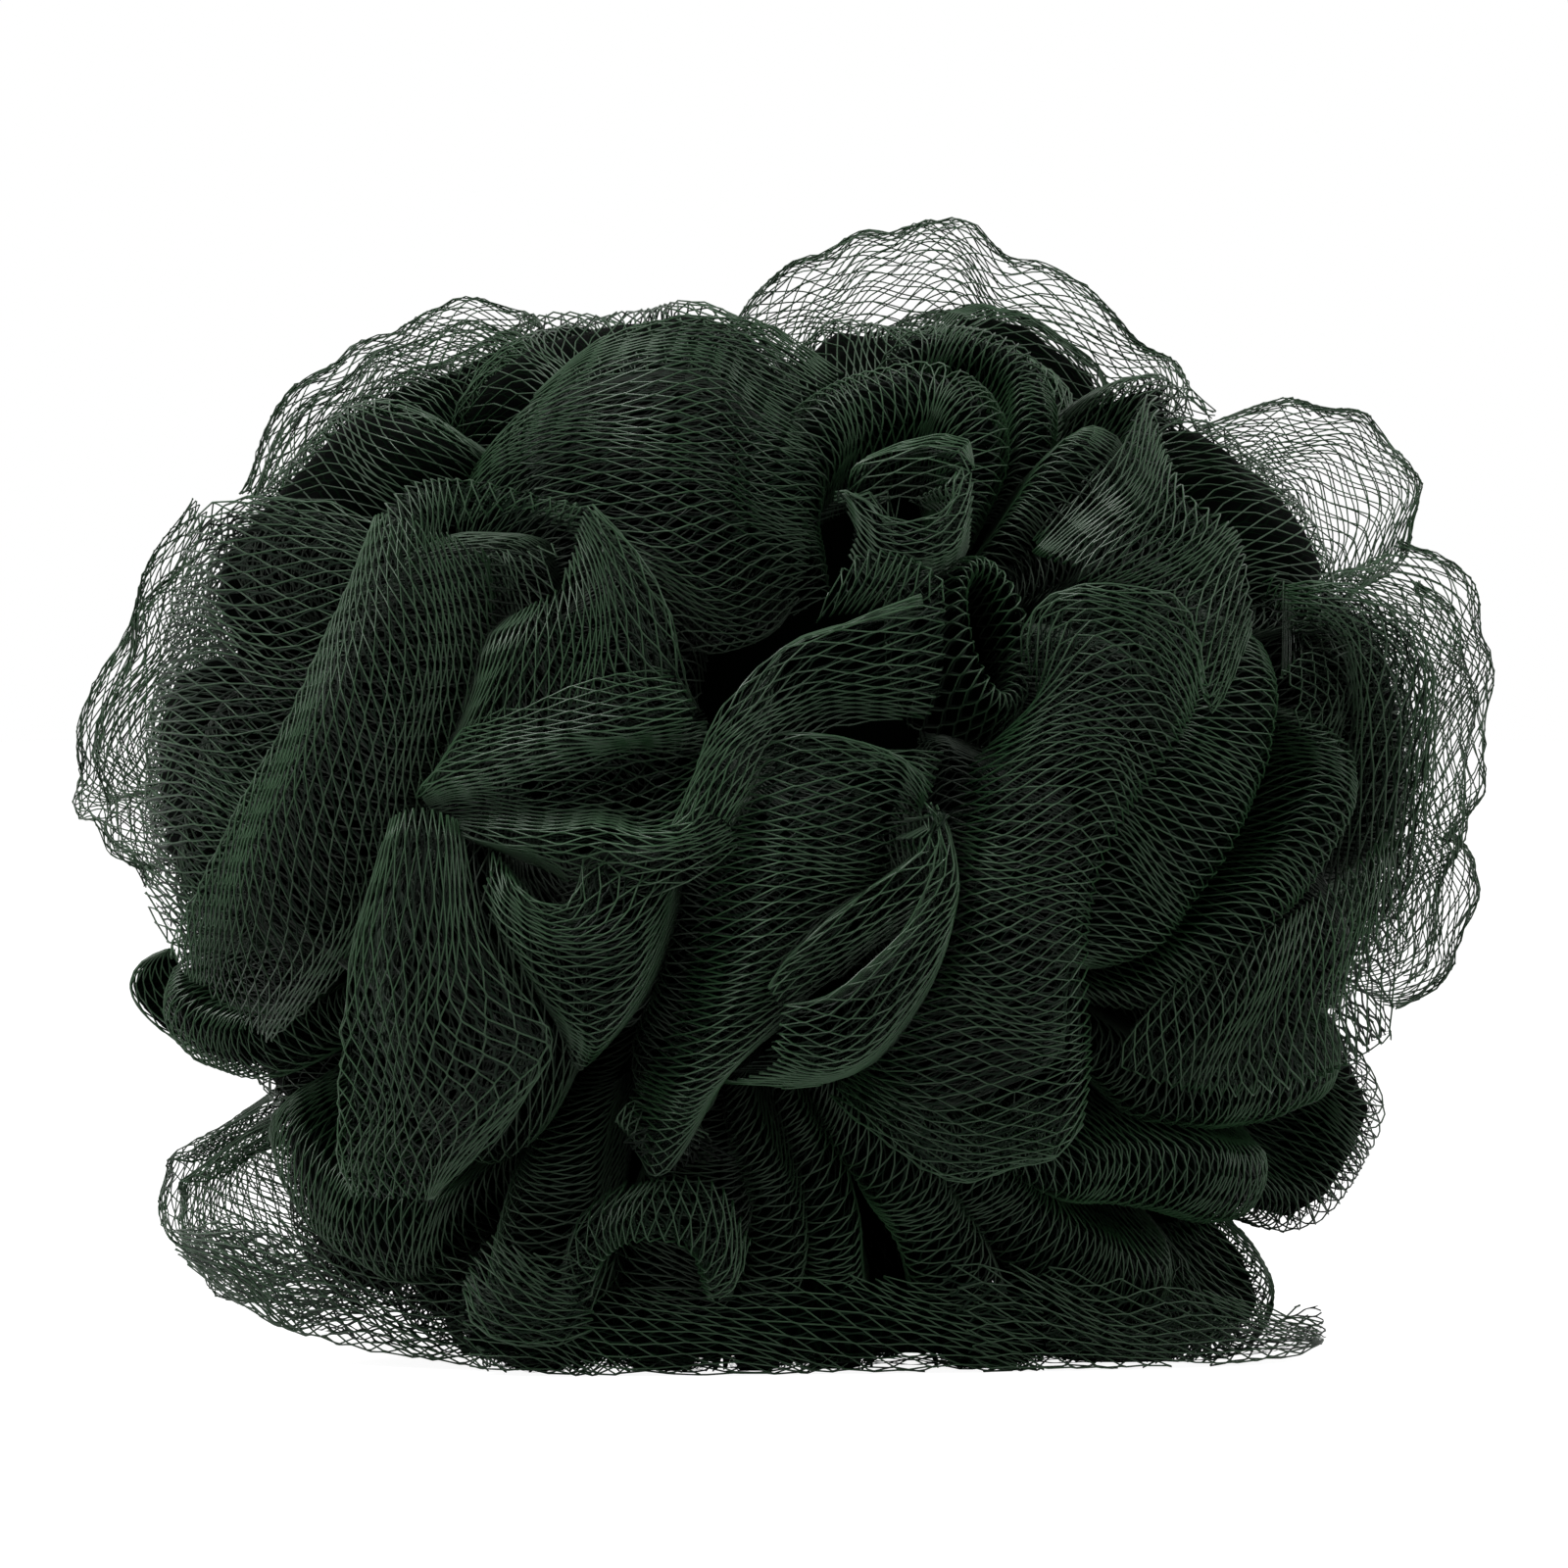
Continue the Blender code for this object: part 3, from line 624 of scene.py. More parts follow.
@dataclass(frozen=True)
class Rim:
    """The tight edge where a sheet of net turns back under itself, bunched and so denser.

    The path is (pixel across, pixel down), and the rim lies on whatever folds are there.
    """

    name: str
    region: Region
    path: tuple
    half_width: float = 9.0
    stand: float = 0.0012
    grain: float = 76.0

    def patch(self, depths: "Depths") -> Patch:
        """The rim's sheet, laid on the folds under its path."""
        path = np.array(self.path, float)
        run = float(np.linalg.norm(np.diff(path, axis=0), axis=1).sum())
        places = smooth_run(path, np.linspace(0, 1, max(6, round(run / RIM_STATION))))
        points = np.array([photo_point(a, d, 0.0) for a, d in places])
        fronts = depths.fronts(points)
        padded = np.concatenate([fronts[:1], fronts[:1], fronts, fronts[-1:], fronts[-1:]])
        spread = np.stack([padded[k:k + len(fronts)] for k in range(5)])
        points[:, 1] = spread.mean(axis=0) - LAYER_DEPTH - self.stand
        width = np.full((len(points), 1), self.half_width * PIXEL)
        patch = fold_patch(self.name, np.hstack([points, width, width]), self.grain, FAINT_WAVES, 2.0,
                           RIM_DEPTH)
        patch.cell_width = RIM_CELL_WIDTH
        patch.fine = True
        patch.coarse = 0.0
        patch.depth = self.half_width * PIXEL * LAYER_SHARE
        patch.sheer = False
        return patch


@dataclass(frozen=True)
class Frill:
    """Net folded double along a rim that stands out past the folds, open enough to see through.

    Each point of the rim is (pixel across, pixel down, out), and the net gathers towards the root.
    """

    name: str
    rim: tuple
    root: tuple
    drop: float = 0.020
    grain: float = 78.0
    cell_width: float = 0.00105
    wave: float = 0.0012
    wave_length: float = 0.015

    def patch(self) -> Patch:
        """The frill's sheet, from one foot over the rim to the other."""
        rim = np.array([photo_point(*point) for point in self.rim])
        root = photo_point(*self.root)
        run = float(np.linalg.norm(np.diff(rim, axis=0), axis=1).sum())
        rows = max(20, int(run / FRILL_ROW))
        share = np.linspace(0, 1, rows + 1)
        edge = smooth_run(rim, share)
        inward = unit(root - edge)
        along = unit(np.gradient(edge, axis=0))
        facing = unit(np.cross(along, inward))
        v = np.linspace(-self.drop, self.drop, FRILL_COLUMNS + 1)
        phase = 2 * math.pi * share * run / self.wave_length
        grid = np.zeros((rows + 1, FRILL_COLUMNS + 1, 3))
        for j, place in enumerate(v):
            depth = abs(place)
            gap = FRILL_GAP * math.sqrt(min(depth / FRILL_GAP_DEPTH, 1.0)) * (1 if place > 0 else -1)
            fade = max(0.0, 1 - depth / self.drop)
            sway = self.wave * np.sin(phase) * fade + 0.5 * self.wave * np.sin(2.3 * phase + 1) * fade
            scallop = FRILL_SCALLOP * np.sin(1.4 * phase + 0.7) * fade
            grid[:, j] = edge + inward * (depth + scallop)[:, None] + facing * (gap + sway)[:, None]
        patch = Patch(self.name, grid, run, self.drop, self.drop, self.grain, inner=False, sheer=False,
                      cell_width=self.cell_width, cell_length=FRILL_CELL_LENGTH,
                      radius=FRILL_STRAND_RADIUS, coarse=FOLD_COARSENESS)
        return settled(patch, FRILL_WAVES)

    def edge_of(self, sheet: Patch) -> Patch:
        """The bunched edge of the frill's sheet."""
        return replace(sheet, name=f"{self.name}_edge", shown=FRILL_EDGE, grain=FRILL_EDGE_GRAIN,
                       cell_width=FRILL_EDGE_CELL_WIDTH)


def ruled_fold(name: str, place: float, around: float, lean: float, size: float,
               chance: random.Random) -> Patch:
    """Lays a fold at a place behind or at the side of the pouf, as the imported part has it.

    Args:
        name: the fold's name.
        place: from -1 at the front to 1 at the back.
        around: the angle round the front-to-back axis.
        lean: the turn of its run.
        size: its length, as a share of the usual one.
        chance: the draws that vary it.

    Returns:
        The sheet.
    """
    level = math.sqrt(max(0.0, 1 - place * place))
    out = np.array([level * math.cos(around), place, level * math.sin(around)])
    turn = np.array([-math.sin(around), 0, math.cos(around)])
    run = unit(turn * math.cos(lean) + np.cross(out, turn) * math.sin(lean))
    reach = chance.uniform(*RULED_REACH)
    half_length = BACK_FOLD_HALF_LENGTH * size
    half_width = BACK_FOLD_HALF_WIDTH * chance.uniform(*RULED_WIDTHS)
    sizes = np.array([WIDTH, DEPTH, HEIGHT]) / 2
    rows = []
    for share in (-1, -0.33, 0.33, 1):
        spot = out * sizes + run * half_length * share
        spot = spot + np.cross(out, run) * half_length * chance.uniform(-RULED_SWAY, RULED_SWAY)
        direction = unit(spot)
        spot = direction / np.linalg.norm(direction / sizes) * reach
        rows.append((*(CENTRE + spot), half_width, half_width))
    return hidden_side(fold_patch(name, np.array(rows), 0.0, BACK_WAVES))


def hidden_side(patch: Patch) -> Patch:
    """Makes a patch that the photograph doesn't show coarser, and less of its skirt."""
    patch.coarse = HIDDEN_COARSENESS
    patch.cell_width = BACK_CELL_WIDTH
    patch.sheer = False
    patch.depth *= HIDDEN_DEPTH_SHARE
    patch.shown -= SKIRT_SHOWN / 2
    return patch


def ruled_folds() -> list[Patch]:
    """The folds behind, at the sides and under the pouf."""
    chance = random.Random(BACK_SEED)
    patches = []
    golden = math.pi * (3 - math.sqrt(5))
    for k in range(BACK_FOLDS):
        place = 1 - (k + 0.5) / BACK_FOLDS * BACK_SPREAD
        patches.append(ruled_fold(f"back_fold_{k}", place, golden * k,
                                  chance.uniform(-BACK_LEAN, BACK_LEAN),
                                  chance.uniform(*BACK_LENGTHS), chance))
    for k in range(SIDE_FOLDS):
        patches.append(ruled_fold(f"side_fold_{k}", SIDE_PLACE + chance.uniform(-SIDE_STRAY, SIDE_STRAY),
                                  2 * math.pi * k / SIDE_FOLDS, chance.uniform(-SIDE_LEAN, SIDE_LEAN),
                                  chance.uniform(*SIDE_LENGTHS), chance))
    low = patches[BACK_FOLDS + LOW_SIDE_FOLD]
    low.points = CENTRE + (low.points - CENTRE) * LOW_SIDE_FOLD_SHARE
    for row, y in enumerate(SEAT_ROWS):
        for column, x in enumerate(SEAT_COLUMNS):
            lean = SEAT_LEAN if (row + column) % 2 else -SEAT_LEAN
            ridge = []
            for share in (-1, -0.4, 0.4, 1):
                run = SEAT_HALF_LENGTH * share
                ridge.append((x + run * lean, y + run + SET_BACK[1], -SEAT_PRESS * (1.5 - share ** 2),
                              SEAT_HALF_WIDTH, SEAT_HALF_WIDTH))
            name = f"seat_fold_{row}_{column}"
            patches.append(hidden_side(fold_patch(name, np.array(ridge), 0.0, FAINT_WAVES)))
    return patches


FOLDS = (
    Fold("top_left_lobe", Region.CROWN, (
        (640, 338, 0.35, 90, 130), (615, 420, 0.59, 150, 190), (625, 520, 0.71, 140, 170),
        (650, 640, 0.73, 110, 120))),
    Fold("top_fan", Region.CROWN, (
        (852, 385, 0.4, 40, 40), (800, 450, 0.66, 45, 60), (790, 530, 0.74, 45, 50),
        (830, 620, 0.76, 40, 50))),
    Fold("long_left_roll", Region.LEFT, (
        (490, 500, 0.69, 60, 60), (430, 620, 0.83, 85, 85), (365, 745, 0.83, 85, 95),
        (300, 865, 0.75, 85, 95), (235, 980, 0.59, 60, 60)), square=2.8),
    Fold("left_shoulder", Region.LEFT, (
        (610, 520, 0.66, 45, 30), (640, 610, 0.8, 60, 95), (600, 710, 0.82, 85, 95),
        (500, 800, 0.78, 55, 50))),
    Fold("far_left_top", Region.LEFT, (
        (205, 570, 0.34, 50, 45), (290, 560, 0.52, 45, 60), (385, 575, 0.62, 45, 50))),
    Fold("far_left_roll", Region.LEFT, (
        (310, 650, 0.62, 70, 70), (240, 770, 0.56, 95, 90), (200, 890, 0.48, 80, 70),
        (190, 980, 0.4, 50, 40))),
    Fold("left_hem", Region.LEFT, (
        (125, 985, 0.26, 26, 30), (185, 1052, 0.4, 34, 36), (265, 1068, 0.5, 34, 34),
        (350, 1030, 0.56, 30, 26))),
    Fold("wedge", Region.LEFT, (
        (455, 800, 0.82, 35, 40), (440, 900, 0.94, 80, 70), (465, 1000, 0.94, 120, 105),
        (475, 1105, 0.88, 85, 100), (445, 1212, 0.76, 22, 30)), grain=80, square=3.2),
    Fold("low_left_roll", Region.LEFT, (
        (335, 1060, 0.46, 36, 36), (285, 1140, 0.46, 46, 40), (320, 1225, 0.6, 50, 46),
        (410, 1275, 0.72, 60, 46), (500, 1262, 0.74, 50, 40))),
    Fold("low_left_cheek", Region.LEFT, (
        (305, 1120, 0.34, 34, 34), (298, 1215, 0.42, 48, 48), (345, 1298, 0.5, 52, 50),
        (450, 1335, 0.6, 44, 44))),
    Fold("centre_cone", Region.CENTRE, (
        (610, 850, 0.85, 55, 60), (600, 920, 0.95, 90, 90), (600, 1000, 0.93, 60, 66),
        (596, 1075, 0.83, 18, 20))),
    Fold("broad_centre", Region.CENTRE, (
        (830, 765, 0.92, 95, 110), (790, 870, 0.96, 90, 100), (735, 1000, 0.94, 75, 66),
        (690, 1090, 0.86, 45, 45), (676, 1160, 0.78, 32, 32)), square=3.0),
    Fold("right_apron", Region.CENTRE, (
        (1060, 745, 0.87, 90, 90), (1030, 850, 0.93, 92, 78), (1010, 970, 0.93, 92, 100),
        (1000, 1070, 0.89, 90, 110), (1010, 1145, 0.81, 70, 80)), square=3.4),
    Fold("right_cheek", Region.RIGHT, (
        (1120, 605, 0.74, 70, 70), (1130, 680, 0.86, 84, 86), (1100, 765, 0.88, 70, 70))),
    Fold("shoulder_ridge", Region.RIGHT, (
        (1170, 400, 0.46, 24, 28), (1110, 480, 0.62, 34, 44), (1045, 560, 0.68, 28, 36))),
    Fold("brow_fold", Region.RIGHT, (
        (1050, 560, 0.66, 36, 30), (1130, 540, 0.7, 40, 44), (1198, 600, 0.72, 40, 44),
        (1226, 690, 0.74, 34, 36), (1200, 790, 0.76, 26, 26))),
    Fold("crown_roll", Region.CROWN, (
        (770, 500, 0.7, 36, 36), (850, 418, 0.66, 42, 40), (950, 385, 0.6, 42, 40),
        (1003, 432, 0.62, 34, 36), (990, 540, 0.68, 28, 30))),
    Fold("crown_rim", Region.CROWN, (
        (880, 372, 0.44, 22, 22), (950, 338, 0.4, 24, 26), (1040, 352, 0.44, 24, 26),
        (1062, 430, 0.52, 26, 24), (1035, 530, 0.6, 24, 24))),
    Fold("crown_back", Region.CROWN, (
        (1120, 350, 0.24, 34, 34), (1190, 380, 0.3, 40, 40), (1235, 440, 0.38, 36, 36))),
    Fold("right_roll", Region.RIGHT, (
        (1272, 590, 0.62, 28, 28), (1275, 700, 0.74, 42, 44), (1235, 810, 0.84, 58, 62),
        (1165, 910, 0.88, 60, 62), (1115, 1010, 0.84, 40, 44))),
    Fold("right_groove_roll", Region.RIGHT, (
        (1345, 690, 0.62, 24, 22), (1365, 790, 0.68, 26, 26), (1310, 890, 0.76, 30, 30),
        (1215, 980, 0.8, 28, 30), (1130, 1045, 0.78, 22, 22))),
    Fold("right_arch", Region.RIGHT, (
        (1300, 600, 0.5, 26, 30), (1370, 612, 0.52, 30, 40), (1418, 690, 0.52, 34, 40),
        (1432, 800, 0.52, 36, 46), (1420, 920, 0.52, 36, 60))),
    Fold("right_flank", Region.RIGHT, (
        (1400, 880, 0.51, 44, 60), (1350, 970, 0.61, 62, 66), (1270, 1030, 0.71, 56, 60),
        (1195, 1065, 0.73, 28, 32)), square=2.8),
    Fold("low_right_upper", Region.FOOT, (
        (1118, 1062, 0.78, 24, 24), (1195, 1112, 0.74, 34, 34), (1310, 1105, 0.62, 38, 40),
        (1415, 1065, 0.42, 34, 34))),
    Fold("low_right_lower", Region.FOOT, (
        (1010, 1182, 0.8, 20, 22), (1100, 1190, 0.8, 32, 34), (1220, 1205, 0.68, 42, 44),
        (1335, 1235, 0.5, 40, 40))),
    Fold("right_heel", Region.RIGHT, (
        (1412, 1060, 0.26, 34, 34), (1405, 1140, 0.24, 38, 38), (1365, 1225, 0.26, 42, 42),
        (1300, 1290, 0.34, 40, 40))),
    Fold("foot_roll_1", Region.FOOT, (
        (590, 1110, 0.74, 34, 34), (562, 1215, 0.84, 50, 48), (540, 1330, 0.8, 56, 54),
        (530, 1470, 0.7, 50, 50))),
    Fold("foot_hood", Region.FOOT, (
        (715, 1165, 0.74, 44, 44), (700, 1250, 0.84, 62, 60), (675, 1350, 0.8, 60, 58),
        (660, 1480, 0.68, 54, 54))),
    Fold("foot_roll_2", Region.FOOT, (
        (735, 1120, 0.74, 26, 24), (784, 1225, 0.8, 32, 30), (778, 1340, 0.76, 36, 34),
        (765, 1480, 0.66, 34, 32))),
    Fold("foot_roll_3", Region.FOOT, (
        (775, 1100, 0.72, 24, 24), (834, 1200, 0.76, 30, 30), (850, 1330, 0.72, 36, 36),
        (860, 1480, 0.6, 40, 40))),
    Fold("foot_roll_4", Region.FOOT, (
        (805, 1100, 0.74, 26, 28), (900, 1180, 0.8, 36, 36), (965, 1280, 0.76, 42, 42),
        (1000, 1375, 0.66, 46, 44), (1030, 1480, 0.54, 44, 44))),
    Fold("foot_roll_5", Region.FOOT, (
        (890, 1125, 0.76, 28, 28), (990, 1200, 0.78, 38, 38), (1090, 1290, 0.66, 46, 46),
        (1230, 1360, 0.5, 50, 50))),
    Fold("foot_skirt_left", Region.FOOT, (
        (360, 1310, 0.46, 50, 50), (460, 1352, 0.54, 52, 50), (600, 1372, 0.6, 50, 46))),
    Fold("foot_skirt_right", Region.FOOT, (
        (1060, 1368, 0.5, 44, 44), (1200, 1372, 0.44, 46, 44), (1345, 1358, 0.3, 40, 36))),
)

CURLS = (
    Curl("narrow_mouth", Region.RIGHT, (1010, 640, 0.88), 70, 30, 6),
)

FRILLS = (
    Frill("top_left_frill", (
        (232, 500, -0.1), (300, 392, -0.14), (400, 330, -0.16), (500, 303, -0.12),
        (556, 330, -0.04)), (560, 600, 0.0)),
    Frill("top_frill", (
        (735, 322, -0.2), (830, 256, -0.22), (945, 221, -0.2), (1060, 262, -0.16), (1190, 356, -0.1),
        (1240, 420, 0.0)), (950, 600, 0.0)),
    Frill("upper_right_frill", (
        (1225, 425, -0.2), (1310, 410, -0.24), (1400, 424, -0.22), (1452, 486, -0.18), (1436, 556, -0.1),
        (1385, 600, 0.02)), (1100, 760, 0.0)),
    Frill("right_frill", (
        (1440, 545, -0.1), (1502, 596, -0.12), (1529, 690, -0.14), (1518, 790, -0.1),
        (1490, 860, -0.04)), (1180, 720, 0.0)),
    Frill("low_right_frill", (
        (1500, 850, -0.2), (1514, 900, -0.22), (1492, 985, -0.18), (1430, 1040, -0.1)), (1200, 880, 0.0)),
    Frill("left_frill", (
        (195, 505, -0.02), (118, 640, -0.06), (71, 780, -0.08), (92, 850, -0.02),
        (150, 890, 0.04)), (420, 720, 0.0)),
    Frill("left_inner_frill", (
        (190, 560, 0.06), (130, 650, 0.04), (95, 770, 0.02), (112, 850, 0.08),
        (150, 905, 0.12)), (420, 720, 0.1), 0.014, 70),
    Frill("top_left_inner_frill", (
        (245, 505, 0.06), (310, 415, 0.02), (395, 352, 0.0), (480, 328, 0.0),
        (545, 345, 0.06)), (560, 600, 0.1), 0.012, 70),
    Frill("right_inner_frill", (
        (1452, 590, 0.1), (1490, 640, 0.06), (1506, 720, 0.04), (1496, 820, 0.06), (1478, 920, 0.04),
        (1440, 1010, 0.06)), (1180, 760, 0.1), 0.014, 70),
    Frill("low_left_frill", (
        (255, 1150, -0.16), (160, 1200, -0.2), (172, 1275, -0.18), (240, 1335, -0.14),
        (370, 1345, -0.08)), (860, 800, -0.1)),
    Frill("low_left_inner_frill", (
        (268, 1162, -0.02), (182, 1210, -0.06), (186, 1268, -0.04), (250, 1322, 0.0),
        (330, 1348, 0.06)), (860, 800, 0.0), 0.014, 70),
)

DRAPES = (
    Drape("arch_top", Region.LEFT, (
        ((400, 515, 0.8), (430, 489, 0.86), (480, 484, 0.9), (545, 500, 0.92), (600, 513, 0.92)),
        ((405, 540, 0.86), (440, 525, 0.9), (480, 516, 0.92), (535, 513, 0.92), (597, 526, 0.92)),
        ((402, 590, 0.86), (440, 575, 0.89), (480, 545, 0.88), (530, 523, 0.86), (588, 536, 0.85)))),
    Drape("shoulder_sheet", Region.LEFT, (
        ((600, 513, 0.92), (640, 548, 0.95), (672, 595, 0.96), (692, 645, 0.96), (706, 700, 0.94),
        (717, 726, 0.9)),
        ((592, 545, 0.91), (612, 590, 0.965), (632, 635, 0.985), (645, 680, 0.985), (652, 715, 0.97),
        (655, 745, 0.93)),
        ((578, 582, 0.89), (576, 620, 0.955), (572, 665, 0.98), (566, 710, 0.985), (562, 750, 0.97),
        (560, 780, 0.93)),
        ((540, 618, 0.87), (518, 645, 0.93), (505, 690, 0.95), (492, 735, 0.95), (480, 775, 0.94),
        (478, 800, 0.9)),
        ((528, 622, 0.8), (500, 650, 0.84), (484, 700, 0.85), (468, 745, 0.85), (452, 790, 0.85),
        (455, 812, 0.82))), 84),
    Drape("centre_channel", Region.CENTRE, (
        ((436, 808, 0.94), (458, 787, 1.0), (505, 775, 1.04), (555, 762, 1.06), (610, 745, 1.07),
        (665, 730, 1.06), (722, 721, 1.01)),
        ((450, 815, 0.94), (490, 800, 0.97), (540, 792, 0.98), (595, 782, 0.96), (645, 770, 0.92),
        (685, 762, 0.9), (728, 745, 0.93)),
        ((460, 822, 0.94), (508, 820, 0.97), (560, 820, 0.99), (612, 812, 0.98), (652, 812, 0.94),
        (688, 798, 0.93), (718, 775, 0.97)),
        ((468, 832, 0.96), (520, 838, 1.01), (570, 838, 1.05), (618, 834, 1.065), (662, 842, 1.08),
        (696, 828, 1.08), (712, 802, 1.07))), 76, (True, True)),
    Drape("band_sheet", Region.CENTRE, (
        ((690, 834, 1.07), (708, 790, 1.07), (730, 735, 1.06), (765, 688, 1.05), (812, 655, 1.04),
        (875, 634, 1.01), (958, 602, 0.96)),
        ((712, 830, 1.08), (734, 785, 1.085), (755, 742, 1.075), (785, 708, 1.05), (828, 680, 1.01),
        (888, 668, 0.975), (960, 645, 0.95)),
        ((735, 830, 1.05), (760, 790, 1.05), (778, 755, 1.03), (802, 732, 0.99), (842, 712, 0.93),
        (895, 703, 0.92), (957, 690, 0.92)),
        ((748, 836, 0.97), (772, 800, 0.97), (792, 775, 0.95), (817, 755, 0.92), (852, 738, 0.89),
        (900, 732, 0.88), (953, 724, 0.87))), 80),
    Drape("broad_sheet", Region.CENTRE, (
        ((752, 756, 0.96), (800, 742, 1.03), (868, 750, 1.04), (912, 768, 1.04), (940, 806, 1.01)),
        ((730, 825, 0.94), (788, 815, 1.06), (850, 812, 1.05), (900, 815, 1.01), (932, 836, 0.95)),
        ((712, 900, 0.93), (772, 900, 1.07), (835, 892, 1.04), (885, 882, 0.98), (910, 880, 0.92)),
        ((698, 978, 0.92), (748, 980, 1.055), (800, 968, 1.02), (838, 948, 0.97), (855, 945, 0.92)),
        ((680, 1045, 0.9), (722, 1048, 1.02), (765, 1042, 1.0), (800, 1022, 0.96), (815, 1015, 0.91)),
        ((645, 1105, 0.86), (686, 1112, 0.96), (714, 1108, 0.96), (736, 1088, 0.93), (748, 1078, 0.88)),
        ((645, 1150, 0.82), (666, 1178, 0.9), (684, 1180, 0.9), (698, 1162, 0.88),
        (702, 1150, 0.85))), 90, (True, True)),
    Drape("loop_far_wall", Region.CENTRE, (
        ((944, 806, 1.02), (950, 852, 1.04), (905, 886, 1.055), (850, 925, 1.065), (808, 965, 1.065),
        (786, 994, 1.06)),
        ((952, 835, 1.02), (950, 880, 1.02), (908, 916, 1.03), (862, 952, 1.03), (824, 982, 1.035),
        (794, 1006, 1.05)),
        ((957, 860, 0.98), (948, 905, 0.97), (908, 945, 0.96), (868, 972, 0.96), (834, 994, 0.97),
        (803, 1014, 1.02))), 80),
    Drape("loop_fan", Region.CENTRE, (
        ((946, 800, 0.99), (960, 850, 1.04), (950, 892, 1.06), (922, 938, 1.075), (882, 977, 1.085),
        (840, 1006, 1.085), (796, 1018, 1.07)),
        ((956, 815, 0.96), (970, 870, 1.01), (963, 920, 1.04), (938, 972, 1.06), (892, 1018, 1.065),
        (845, 1042, 1.06), (790, 1044, 1.04)),
        ((958, 830, 0.9), (968, 895, 0.95), (958, 958, 0.99), (932, 1008, 1.01), (888, 1054, 1.01),
        (832, 1078, 1.0), (765, 1076, 0.98)),
        ((956, 850, 0.84), (958, 915, 0.87), (944, 985, 0.89), (915, 1038, 0.9), (868, 1078, 0.9),
        (805, 1094, 0.9), (728, 1088, 0.88))), 78),
    Drape("cone_sheet", Region.CENTRE, (
        ((508, 862, 0.98), (522, 888, 1.03), (548, 905, 1.055), (578, 912, 1.06), (598, 897, 1.055),
        (603, 868, 1.035), (628, 848, 0.99)),
        ((498, 895, 0.96), (524, 930, 1.03), (560, 948, 1.065), (602, 948, 1.07), (642, 928, 1.055),
        (668, 892, 1.03), (684, 860, 0.96)),
        ((512, 935, 0.92), (546, 978, 1.0), (580, 992, 1.035), (616, 992, 1.04), (654, 975, 1.02),
        (682, 930, 0.98), (698, 880, 0.92)),
        ((556, 1000, 0.9), (578, 1032, 0.96), (598, 1042, 0.98), (618, 1042, 0.98), (641, 1025, 0.96),
        (668, 990, 0.93), (698, 930, 0.88)),
        ((572, 1035, 0.85), (586, 1064, 0.9), (596, 1074, 0.91), (606, 1072, 0.91), (620, 1056, 0.89),
        (642, 1030, 0.87), (682, 980, 0.84))), 78, (True, True)),
    Drape("wedge_sheet", Region.LEFT, (
        ((480, 822, 0.96), (500, 930, 1.02), (545, 1000, 1.035), (572, 1050, 1.03), (545, 1098, 1.0),
        (500, 1158, 0.95), (450, 1210, 0.87)),
        ((464, 814, 0.99), (470, 930, 1.05), (492, 1010, 1.07), (502, 1060, 1.06), (492, 1108, 1.03),
        (470, 1158, 0.97), (445, 1212, 0.88)),
        ((446, 810, 0.99), (436, 930, 1.04), (436, 1010, 1.06), (442, 1065, 1.04), (442, 1112, 1.01),
        (442, 1160, 0.95), (438, 1212, 0.87)),
        ((426, 814, 0.97), (402, 930, 1.0), (398, 1010, 1.01), (402, 1065, 0.99), (404, 1112, 0.96),
        (404, 1160, 0.91), (412, 1210, 0.85)),
        ((408, 826, 0.92), (380, 930, 0.95), (366, 1010, 0.95), (360, 1062, 0.93), (358, 1112, 0.9),
        (360, 1160, 0.87), (378, 1212, 0.82))), 88, (True, True), 0.00135),
    Drape("apron_sheet", Region.CENTRE, (
        ((1034, 668, 0.88), (1042, 625, 0.92), (1075, 602, 0.94), (1125, 597, 0.95), (1175, 602, 0.94),
        (1206, 630, 0.93), (1215, 688, 0.9)),
        ((1048, 715, 0.89), (1068, 675, 0.97), (1095, 655, 0.99), (1127, 655, 0.995), (1160, 665, 0.985),
        (1187, 690, 0.965), (1202, 728, 0.91)),
        ((980, 775, 0.88), (1020, 762, 0.99), (1060, 745, 1.02), (1100, 740, 1.025), (1135, 740, 1.015),
        (1160, 747, 0.99), (1178, 768, 0.93)),
        ((955, 850, 0.9), (985, 850, 1.0), (1020, 850, 1.03), (1050, 850, 1.03), (1080, 850, 1.01),
        (1103, 856, 0.985), (1118, 862, 0.92)),
        ((950, 950, 0.9), (975, 950, 1.0), (1005, 950, 1.02), (1035, 952, 1.02), (1062, 955, 1.0),
        (1089, 956, 0.975), (1103, 956, 0.91)),
        ((895, 1045, 0.88), (930, 1050, 0.97), (970, 1056, 1.0), (1010, 1058, 0.995), (1050, 1058, 0.98),
        (1086, 1056, 0.955), (1103, 1052, 0.89)),
        ((842, 1098, 0.84), (890, 1138, 0.9), (940, 1174, 0.92), (985, 1184, 0.925), (1035, 1166, 0.92),
        (1075, 1158, 0.91), (1099, 1128, 0.86))), 90, (True, True), 0.0012),
    Drape("crown_cup", Region.CROWN, (
        ((858, 500, 0.82), (884, 527, 0.86), (920, 535, 0.875), (955, 527, 0.875), (979, 502, 0.86),
        (984, 478, 0.83)),
        ((866, 525, 0.8), (890, 560, 0.85), (920, 571, 0.865), (951, 566, 0.865), (977, 545, 0.85),
        (988, 505, 0.82)),
        ((860, 560, 0.72), (885, 590, 0.75), (915, 600, 0.76), (946, 597, 0.76), (970, 585, 0.76),
        (987, 550, 0.74))), 82),
    Drape("inner_petal", Region.CENTRE, (
        ((858, 580, 0.86), (880, 558, 0.89), (910, 560, 0.91), (940, 572, 0.91), (964, 594, 0.9)),
